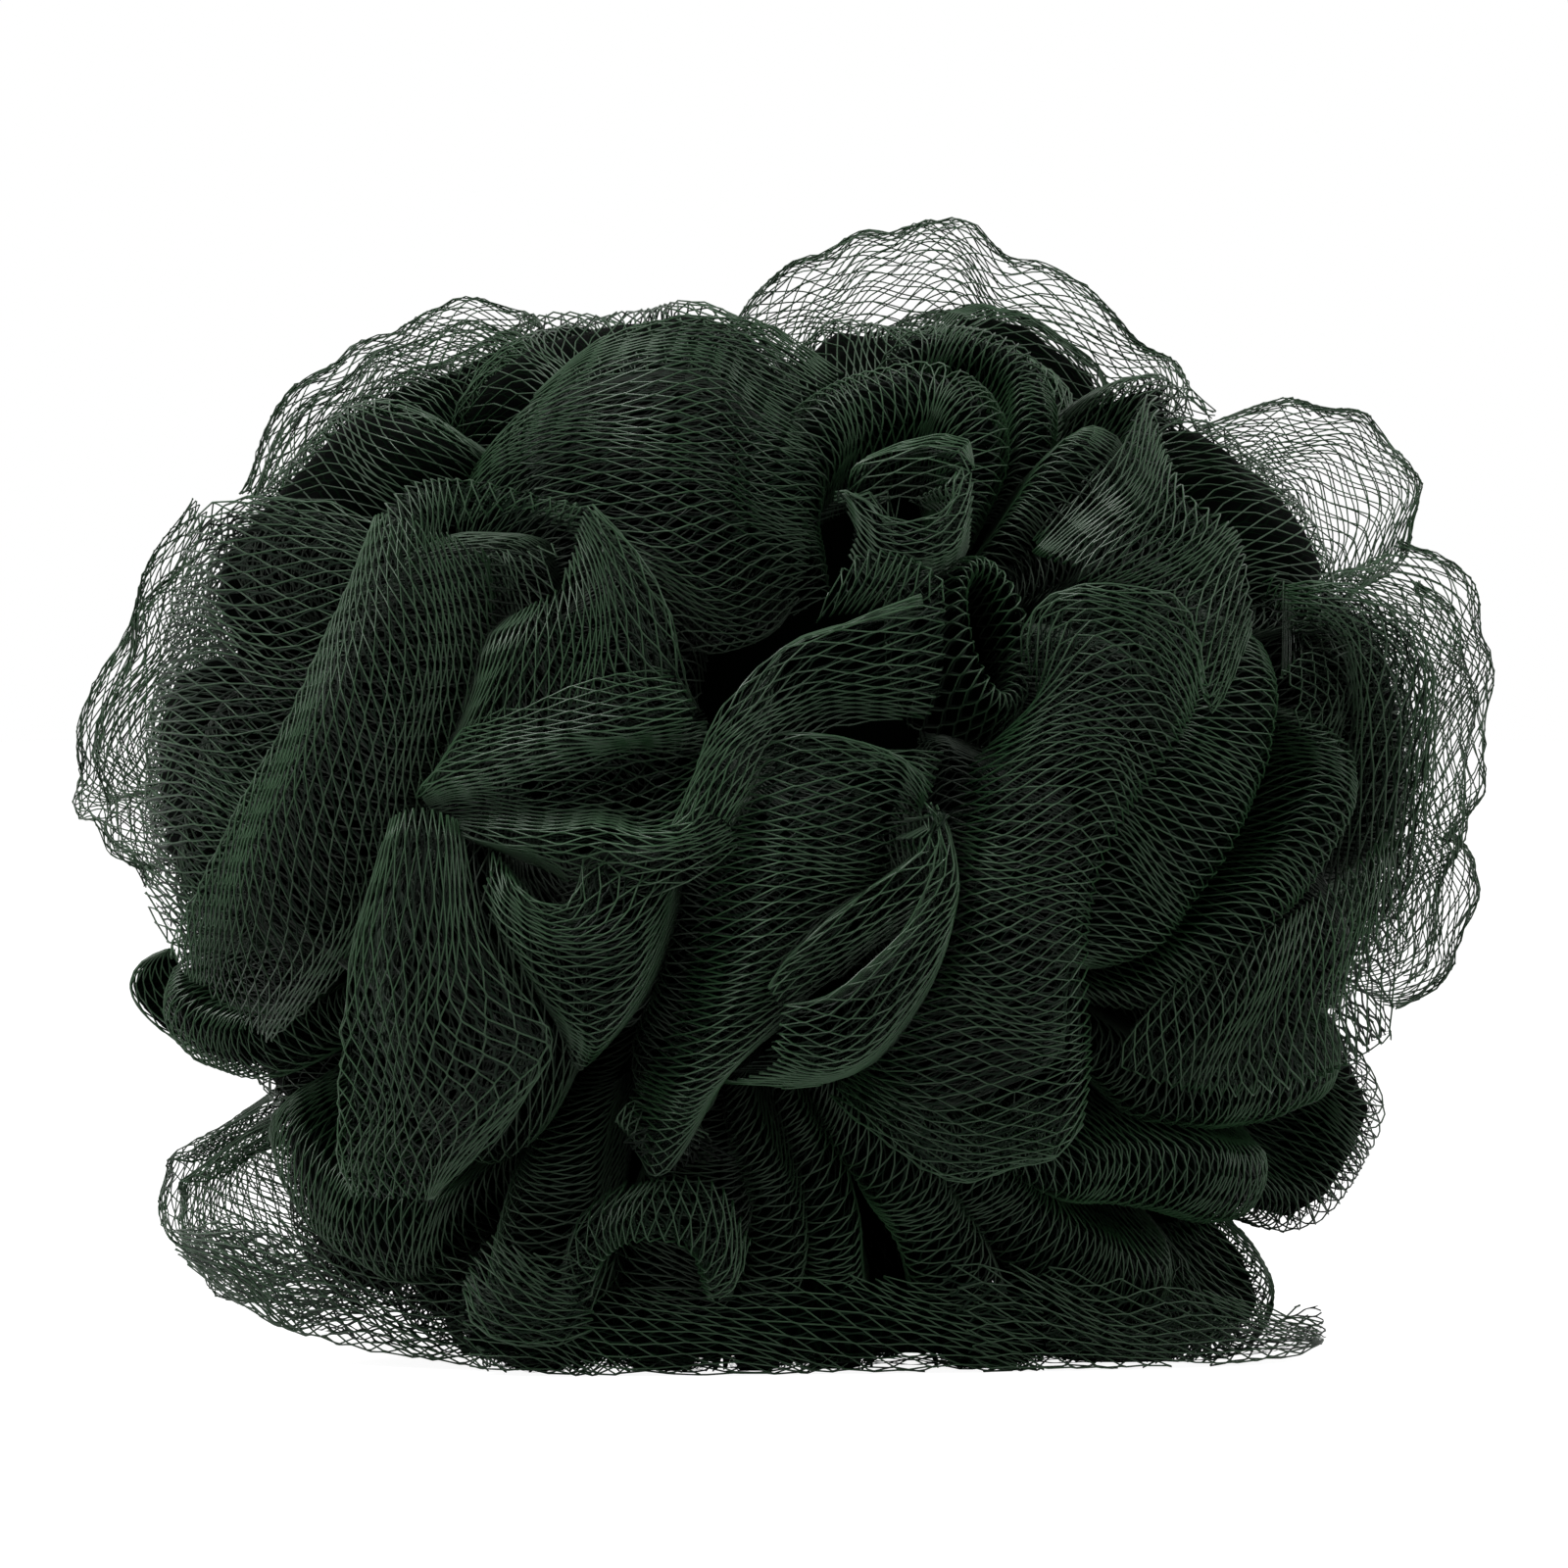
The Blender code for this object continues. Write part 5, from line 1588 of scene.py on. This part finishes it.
def cells_group() -> bpy.types.NodeTree:
    """Builds the drawn net that the sheer and the innermost layers share.

    Returns:
        A group that takes places on the flat net, in cells, and a strand's width as a share of a
        cell, and gives a mask that is 1 on a strand and a height that is rounded over it.
    """
    nodes, given, result = open_group(
        "drawn_net", {"Place": ("Vector", None), "Strand Width": ("Float", DRAWN_STRAND_WIDTH)},
        {"Mask": "Float", "Height": "Float"})
    split = nodes.add("ShaderNodeSeparateXYZ")
    nodes.join(given.outputs["Place"], split.inputs[0])
    wave = nodes.math("SINE", nodes.math("MULTIPLY", split.outputs[1], 4 * math.pi))
    onward = nodes.math("SUBTRACT", split.outputs[1], nodes.math("MULTIPLY", wave, CELL_WAVE))
    half = nodes.math("MULTIPLY", given.outputs["Strand Width"], 0.5)
    nearest = None
    for slant in (1.0, -1.0):
        phase = nodes.math("ADD", split.outputs[0], nodes.math("MULTIPLY", onward, slant))
        distance = nodes.math("PINGPONG", phase, 0.5)
        nearest = distance if nearest is None else nodes.math("MINIMUM", nearest, distance)
    nodes.join(nodes.math("LESS_THAN", nearest, half), result.inputs["Mask"])
    inside = nodes.math("SUBTRACT", 1.0, nodes.math("DIVIDE", nearest, half))
    nodes.join(nodes.math("SQRT", nodes.math("MAXIMUM", inside, 0.0)), result.inputs["Height"])
    return nodes.tree


def plastic_group() -> bpy.types.NodeTree:
    """Builds the soft variation that all the pouf's plastics share, with painted shade: the colour is
    darkened, and the roughness raised, where a place lies shut in.

    Returns:
        A group that takes two colours, a scale, two roughness values and how open a place lies to
        the light, and gives a colour darkened as painted shade where the place is shut in, a roughness
        and a bump height.
    """
    nodes, given, result = open_group(
        "plastic_variation_and_painted_shade",
        {"Deep Color": ("Color", BLACK), "Pale Color": ("Color", WHITE), "Patch Scale": ("Float", 90.0),
         "Least Roughness": ("Float", 0.35), "Most Roughness": ("Float", 0.55),
         "Openness": ("Float", 1.0)},
        {"Color": "Color", "Roughness": "Float", "Height": "Float"})
    broad = nodes.noise(3.0, given.outputs["Patch Scale"])
    fine = nodes.noise(2.0, nodes.math("MULTIPLY", given.outputs["Patch Scale"], FINE_SCALE))
    spread = nodes.add("ShaderNodeMapRange")
    spread.inputs["From Min"].default_value, spread.inputs["From Max"].default_value = PATCH_CONTRAST
    nodes.join(broad, spread.inputs["Value"])
    mask = nodes.math("ADD", nodes.math("MULTIPLY", spread.outputs[0], BROAD_SHARE),
                      nodes.math("MULTIPLY", fine, 1 - BROAD_SHARE))
    shade = nodes.add("ShaderNodeMapRange", interpolation_type="SMOOTHSTEP")
    shade.inputs["From Min"].default_value, shade.inputs["From Max"].default_value = SHADE_RANGE
    shade.inputs["To Min"].default_value = DEEP_LIGHT
    nodes.join(given.outputs["Openness"], shade.inputs["Value"])
    lit = nodes.mix(mask, given.outputs["Deep Color"], given.outputs["Pale Color"])
    # Painted shade: the colour fades towards black where the place lies shut in.
    nodes.join(nodes.mix(shade.outputs[0], BLACK, lit), result.inputs["Color"])
    rough = nodes.add("ShaderNodeMapRange")
    nodes.join(fine, rough.inputs["Value"])
    nodes.join(given.outputs["Least Roughness"], rough.inputs["To Min"])
    nodes.join(given.outputs["Most Roughness"], rough.inputs["To Max"])
    # The deep is made rougher too, along with the painted shade.
    dull = nodes.math("MULTIPLY", nodes.math("SUBTRACT", 1.0, shade.outputs[0]), DEEP_DULLNESS)
    nodes.join(nodes.math("ADD", rough.outputs[0], dull), result.inputs["Roughness"])
    nodes.join(fine, result.inputs["Height"])
    return nodes.tree


@dataclass(frozen=True)
class Finish:
    """What the pouf's plastics share: two colours that vary softly, and a low sheen."""

    name: str
    deep: tuple
    pale: tuple
    roughness: tuple = (0.35, 0.55)
    patch_scale: float = 90.0
    sheen: float = 0.5
    bump_strength: float = 0.15
    bump_depth: float = 0.0001

    def start(self, group: bpy.types.NodeTree) -> tuple[bpy.types.Material, Nodes, bpy.types.Node]:
        """Starts the material from the shared variation.

        Args:
            group: the shared variation.

        Returns:
            The material, its nodes and the variation's node.
        """
        material = bpy.data.materials.new(self.name)
        material.use_nodes = True
        nodes = Nodes(material.node_tree)
        shader = material.node_tree.nodes["Principled BSDF"]
        varied = nodes.add("ShaderNodeGroup", node_tree=group)
        varied.inputs["Deep Color"].default_value = self.deep
        varied.inputs["Pale Color"].default_value = self.pale
        varied.inputs["Patch Scale"].default_value = self.patch_scale
        varied.inputs["Least Roughness"].default_value = self.roughness[0]
        varied.inputs["Most Roughness"].default_value = self.roughness[1]
        nodes.join(varied.outputs["Roughness"], shader.inputs["Roughness"])
        shader.inputs["Specular IOR Level"].default_value = self.sheen
        return material, nodes, varied

    def colour(self, nodes: Nodes, colour: bpy.types.NodeSocket) -> None:
        """Links a colour to the shader."""
        nodes.join(colour, nodes.tree.nodes["Principled BSDF"].inputs["Base Color"])

    def shade(self, nodes: Nodes, varied: bpy.types.Node) -> None:
        """Tells the variation how open each place lies to the light, so that it paints shade where the
        place is shut in.
        """
        open_to_light = nodes.add("ShaderNodeAttribute", attribute_name="openness")
        nodes.join(open_to_light.outputs["Fac"], varied.inputs["Openness"])

    def bump(self, nodes: Nodes, height: bpy.types.NodeSocket) -> None:
        """Raises the surface by a height."""
        bump = nodes.add("ShaderNodeBump")
        bump.inputs["Strength"].default_value = self.bump_strength
        bump.inputs["Distance"].default_value = self.bump_depth
        nodes.join(height, bump.inputs["Height"])
        nodes.join(bump.outputs["Normal"], nodes.tree.nodes["Principled BSDF"].inputs["Normal"])

    def drawn_net(self, nodes: Nodes, cells: bpy.types.NodeTree) -> bpy.types.Node:
        """Draws the net on the piece's own flat places."""
        flat = nodes.add("ShaderNodeUVMap", uv_map="flat_net")
        net = nodes.add("ShaderNodeGroup", node_tree=cells)
        net.inputs["Strand Width"].default_value = DRAWN_STRAND_WIDTH
        nodes.join(flat.outputs[0], net.inputs["Place"])
        self.bump(nodes, net.outputs["Height"])
        return net


@dataclass(frozen=True)
class StrandPlastic(Finish):
    """Finish of the net's strands: soft dark green polyethylene with a low sheen, painted darker as shade
    where the strands lie shut in.
    """

    name: str = "strand_plastic"
    deep: tuple = (0.007, 0.024, 0.009, 1.0)
    pale: tuple = (0.022, 0.058, 0.024, 1.0)
    roughness: tuple = (0.28, 0.44)
    patch_scale: float = 70.0
    sheen: float = 0.33

    def build(self, group: bpy.types.NodeTree) -> bpy.types.Material:
        """Makes the material from the shared variation."""
        material, nodes, varied = self.start(group)
        self.shade(nodes, varied)
        self.colour(nodes, varied.outputs["Color"])
        self.bump(nodes, varied.outputs["Height"])
        return material


@dataclass(frozen=True)
class InnerNet(Finish):
    """Finish of the innermost layers: the same net, packed, in colours painted near black as shade, darkest
    in the gaps between its drawn strands and where it lies shut in.
    """

    name: str = "inner_net_painted_shade"
    # Painted shade: the packed net's colours, far darker than the strands', with a gap colour darker still.
    deep: tuple = (0.0006, 0.0024, 0.0009, 1.0)
    pale: tuple = (0.001, 0.004, 0.0015, 1.0)
    gap: tuple = (0.0001, 0.0004, 0.0002, 1.0)
    roughness: tuple = (0.6, 0.8)
    patch_scale: float = 60.0
    sheen: float = 0.01
    bump_strength: float = 0.6
    bump_depth: float = 0.0002

    def build(self, group: bpy.types.NodeTree, cells: bpy.types.NodeTree) -> bpy.types.Material:
        """Makes the material from the shared variation and the drawn net."""
        material, nodes, varied = self.start(group)
        self.shade(nodes, varied)
        net = self.drawn_net(nodes, cells)
        self.colour(nodes, nodes.mix(net.outputs["Mask"], self.gap, varied.outputs["Color"]))
        return material


@dataclass(frozen=True)
class SheerNet(Finish):
    """Finish of the sheer layers: strands with open cells between them, coloured darker than the strands
    above as painted shade, and painted darker still where they lie shut in.
    """

    name: str = "sheer_net_painted_shade"
    # Painted shade: colours darker than those of the strands above them.
    deep: tuple = (0.001, 0.006, 0.002, 1.0)
    pale: tuple = (0.003, 0.013, 0.005, 1.0)
    sheen: float = 0.14
    bump_strength: float = 0.8
    bump_depth: float = 0.0002

    def build(self, group: bpy.types.NodeTree, cells: bpy.types.NodeTree) -> bpy.types.Material:
        """Makes the material from the shared variation and the drawn net."""
        material, nodes, varied = self.start(group)
        self.shade(nodes, varied)
        net = self.drawn_net(nodes, cells)
        self.colour(nodes, varied.outputs["Color"])
        nodes.join(net.outputs["Mask"], material.node_tree.nodes["Principled BSDF"].inputs["Alpha"])
        return material


@dataclass(frozen=True)
class TieCord(Finish):
    """Finish of the cord that ties the waist: fine braid in the net's green."""

    name: str = "tie_cord"
    deep: tuple = (0.009, 0.035, 0.020, 1.0)
    pale: tuple = (0.018, 0.070, 0.040, 1.0)
    roughness: tuple = (0.6, 0.85)
    bump_strength: float = 0.5
    bump_depth: float = 0.0003
    braid_scale: float = 900.0

    def build(self, group: bpy.types.NodeTree) -> bpy.types.Material:
        """Makes the material from the shared variation and a braid of waves."""
        material, nodes, varied = self.start(group)
        self.colour(nodes, varied.outputs["Color"])
        place = nodes.add("ShaderNodeTexCoord")
        braid = nodes.add("ShaderNodeTexWave", bands_direction="DIAGONAL")
        braid.inputs["Scale"].default_value = self.braid_scale
        nodes.join(place.outputs["Object"], braid.inputs["Vector"])
        self.bump(nodes, braid.outputs["Fac"])
        return material


@dataclass
class Netting:
    """The pouf's netting: strands over every fold, and the inner layers under them."""

    strands: bpy.types.Material
    sheer: bpy.types.Material
    inner: bpy.types.Material

    def patches(self) -> dict[Region, list[Patch]]:
        """Every sheet of net, by region."""
        regions: dict[Region, list[Patch]] = {region: [] for region in Region}
        for fold in FOLDS:
            regions[fold.region].append(fold.patch())
        for shape in (*CURLS, *DRAPES):
            regions[shape.region].append(shape.patch())
        for frill in FRILLS:
            sheet = frill.patch()
            regions[Region.FRILLS] += [sheet, frill.edge_of(sheet)]
        ruled = ruled_folds()
        regions[Region.BACK] = ruled[:BACK_FOLDS]
        regions[Region.SIDES] = ruled[BACK_FOLDS:]
        return regions

    def build(self) -> None:
        """Makes each region's net and inner layer."""
        regions = self.patches()
        depths = Depths([patch for patches in regions.values() for patch in patches])
        for rim in RIMS:
            regions[rim.region].append(rim.patch(depths))
        for patches in regions.values():
            for patch in patches:
                depths.set_openness(patch)
        for region, patches in regions.items():
            net, sheer, inner = MeshParts(), MeshParts(), MeshParts()
            strand, net_area, strand_area = 0.0, 0.0, 0.0
            for patch in patches:
                length = weave(net, patch, depths)
                strand += length
                net_area += length * patch.cell_width / 2
                strand_area += length * patch.radius * STRAND_SIDES * math.sin(math.pi / STRAND_SIDES)
                if patch.sheer:
                    sheer.add(*sheer_sheet(patch))
                if patch.inner:
                    inner.add(*inner_shell(patch))
            if sheer.count:
                self.build_sheer(region, sheer)
            piece = net.make(f"{region.value}_net")
            self.dress(piece, self.strands)
            LOG.info("%s: %d patches, %.0f cm2 of net from %.0f m of strand, %d triangles", piece.name,
                     len(patches), net_area * 1e4, strand, triangles(piece))
            if inner.count:
                layer = inner.make(f"{region.value}_inner_layers")
                self.dress(layer, self.inner)
                LOG.info("%s: %d triangles", layer.name, triangles(layer))

    def build_sheer(self, region: Region, parts: MeshParts) -> None:
        """Makes one region's sheer layers."""
        piece = parts.make(f"{region.value}_sheer_layers")
        self.dress(piece, self.sheer)

    def dress(self, piece: bpy.types.Object, material: bpy.types.Material) -> None:
        """Gives a piece of net its finish and its place in the frame."""
        piece.data.materials.append(material)
        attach(piece, "root")
        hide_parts("netting")

    def build_heart(self) -> None:
        """Makes the gathered heart between the folds, in the inner layers' finish, painted near black as
        shade.
        """
        bpy.ops.object.select_all(action="DESELECT")
        bpy.ops.mesh.primitive_uv_sphere_add(segments=HEART_SEGMENTS, ring_count=HEART_RINGS, radius=0.5,
                                             location=CENTRE,
                                             scale=np.array([WIDTH, DEPTH, HEIGHT]) * HEART_SHARE)
        heart = bpy.context.object
        heart.name = "gathered_heart"
        heart.data.name = "gathered_heart"
        bpy.ops.object.transform_apply(location=True, rotation=True, scale=True)
        bpy.ops.object.shade_smooth()
        heart.data.uv_layers[0].name = "flat_net"
        values = np.zeros(len(heart.data.loops) * 2)
        heart.data.uv_layers[0].data.foreach_get("uv", values)
        values[0::2] *= math.pi * WIDTH / CELL_WIDTH
        values[1::2] *= math.pi * HEIGHT / 2 / CELL_LENGTH
        heart.data.uv_layers[0].data.foreach_set("uv", values)
        # All zero, so the heart is painted at the darkest painted shade.
        heart.data.attributes.new("openness", "FLOAT", "POINT")
        self.dress(heart, self.inner)
        LOG.info("gathered_heart made")


@dataclass
class Studio:
    """Camera, floor, world and lights."""

    distance: float = 1.6
    elevation: float = 1.0
    frame_width: float = PHOTO_SIZE * PIXEL
    sensor: float = 36.0
    nearest: float = 0.05
    floor_size: float = 8.0
    floor_colour: tuple = (0.86, 0.86, 0.86, 1.0)
    floor_roughness: float = 0.7
    floor_glow: float = 1.25
    floor_glow_share: float = 0.75
    world_light: float = 0.42
    key_place: tuple = (-0.62, -0.40, 1.25)
    key_size: float = 0.6
    key_power: float = 22.0
    fill_place: tuple = (1.0, -0.30, 0.8)
    fill_size: float = 0.8
    fill_power: float = 6.6

    def camera(self) -> None:
        """Places the camera in front, at the photograph's angle."""
        data = bpy.data.cameras.new("photo_camera")
        camera = bpy.data.objects.new("photo_camera", data)
        bpy.context.scene.collection.objects.link(camera)
        lift = math.radians(self.elevation)
        middle = (PHOTO_BASE - PHOTO_SIZE / 2) * HEIGHT / (PHOTO_BASE - PHOTO_TOP)
        camera.location = (0.0, -self.distance * math.cos(lift), middle + self.distance * math.sin(lift))
        camera.rotation_euler = (math.pi / 2 - lift, 0.0, 0.0)
        data.sensor_width = self.sensor
        data.lens = self.sensor * self.distance / self.frame_width
        data.clip_start = self.nearest
        bpy.context.scene.camera = camera
        LOG.info("camera %.2f m away, lens %.0f mm", self.distance, data.lens)

    @staticmethod
    def blend(nodes: Nodes, share: bpy.types.NodeSocket, plain: bpy.types.Node, white: bpy.types.Node,
              output: bpy.types.Node) -> None:
        """Shows a plain shader and a white one, mixed by a share.

        Args:
            nodes: the node tree's nodes.
            share: the white one's share.
            plain: the plain shader.
            white: the white one.
            output: the tree's output.
        """
        blend = nodes.add("ShaderNodeMixShader")
        for source, target in ((share, blend.inputs[0]), (plain.outputs[0], blend.inputs[1]),
                               (white.outputs[0], blend.inputs[2]),
                               (blend.outputs[0], output.inputs["Surface"])):
            nodes.join(source, target)

    def floor(self) -> None:
        """Lays the pale floor that the pouf rests on."""
        bpy.ops.object.select_all(action="DESELECT")
        bpy.ops.mesh.primitive_plane_add(size=self.floor_size, location=(0.0, 0.0, 0.0))
        floor = bpy.context.object
        floor.name = "floor"
        material = bpy.data.materials.new("pale_floor")
        material.use_nodes = True
        nodes = Nodes(material.node_tree)
        shader = material.node_tree.nodes["Principled BSDF"]
        shader.inputs["Base Color"].default_value = self.floor_colour
        shader.inputs["Roughness"].default_value = self.floor_roughness
        glow = nodes.add("ShaderNodeEmission")
        glow.inputs["Color"].default_value = WHITE
        glow.inputs["Strength"].default_value = self.floor_glow
        rays = nodes.add("ShaderNodeLightPath")
        seen = nodes.math("MULTIPLY", rays.outputs["Is Camera Ray"], self.floor_glow_share)
        self.blend(nodes, seen, shader, glow, material.node_tree.nodes["Material Output"])
        floor.data.materials.append(material)

    def world(self) -> None:
        """Lights the pouf softly from all round, with white behind it."""
        world = bpy.data.worlds.new("soft_studio")
        bpy.context.scene.world = world
        world.use_nodes = True
        nodes = Nodes(world.node_tree)
        light = world.node_tree.nodes["Background"]
        light.inputs["Color"].default_value = WHITE
        light.inputs["Strength"].default_value = self.world_light
        white = nodes.add("ShaderNodeBackground")
        white.inputs["Color"].default_value = WHITE
        white.inputs["Strength"].default_value = 1.0
        rays = nodes.add("ShaderNodeLightPath")
        straight = nodes.math("MAXIMUM", rays.outputs["Is Camera Ray"], rays.outputs["Is Glossy Ray"])
        seen = nodes.math("MAXIMUM", straight, rays.outputs["Is Transmission Ray"])
        self.blend(nodes, seen, light, white, world.node_tree.nodes["World Output"])

    def softbox(self, name: str, place: tuple, size: float, power: float) -> None:
        """Hangs a square soft light that points at the pouf.

        Args:
            name: the light's name.
            place: where it hangs.
            size: the length of its side.
            power: its power in watts.
        """
        data = bpy.data.lights.new(name, "AREA")
        data.size = size
        data.energy = power
        light = bpy.data.objects.new(name, data)
        bpy.context.scene.collection.objects.link(light)
        light.location = place
        towards = -(np.array(place) - CENTRE)
        yaw = math.atan2(towards[1], towards[0]) - math.pi / 2
        pitch = math.atan2(towards[2], math.hypot(towards[0], towards[1])) + math.pi / 2
        light.rotation_euler = (pitch, 0.0, yaw)
        LOG.info("%s: %.1f W, %.1f m wide", name, power, size)

    def build(self) -> None:
        """Makes the whole studio."""
        self.camera()
        self.floor()
        self.world()
        self.softbox("top_left_key", self.key_place, self.key_size, self.key_power)
        self.softbox("right_fill", self.fill_place, self.fill_size, self.fill_power)
        bpy.context.scene.view_settings.view_transform = "Standard"


def main() -> None:
    """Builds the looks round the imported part, piece by piece."""
    Studio().build()
    group = plastic_group()
    cells = cells_group()
    netting = Netting(StrandPlastic().build(group), SheerNet().build(group, cells),
                      InnerNet().build(group, cells))
    netting.build()
    netting.build_heart()
    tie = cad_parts["centre_tie"]
    tie.data.materials.clear()
    tie.data.materials.append(TieCord().build(group))


if __name__ == "__main__":
    main()
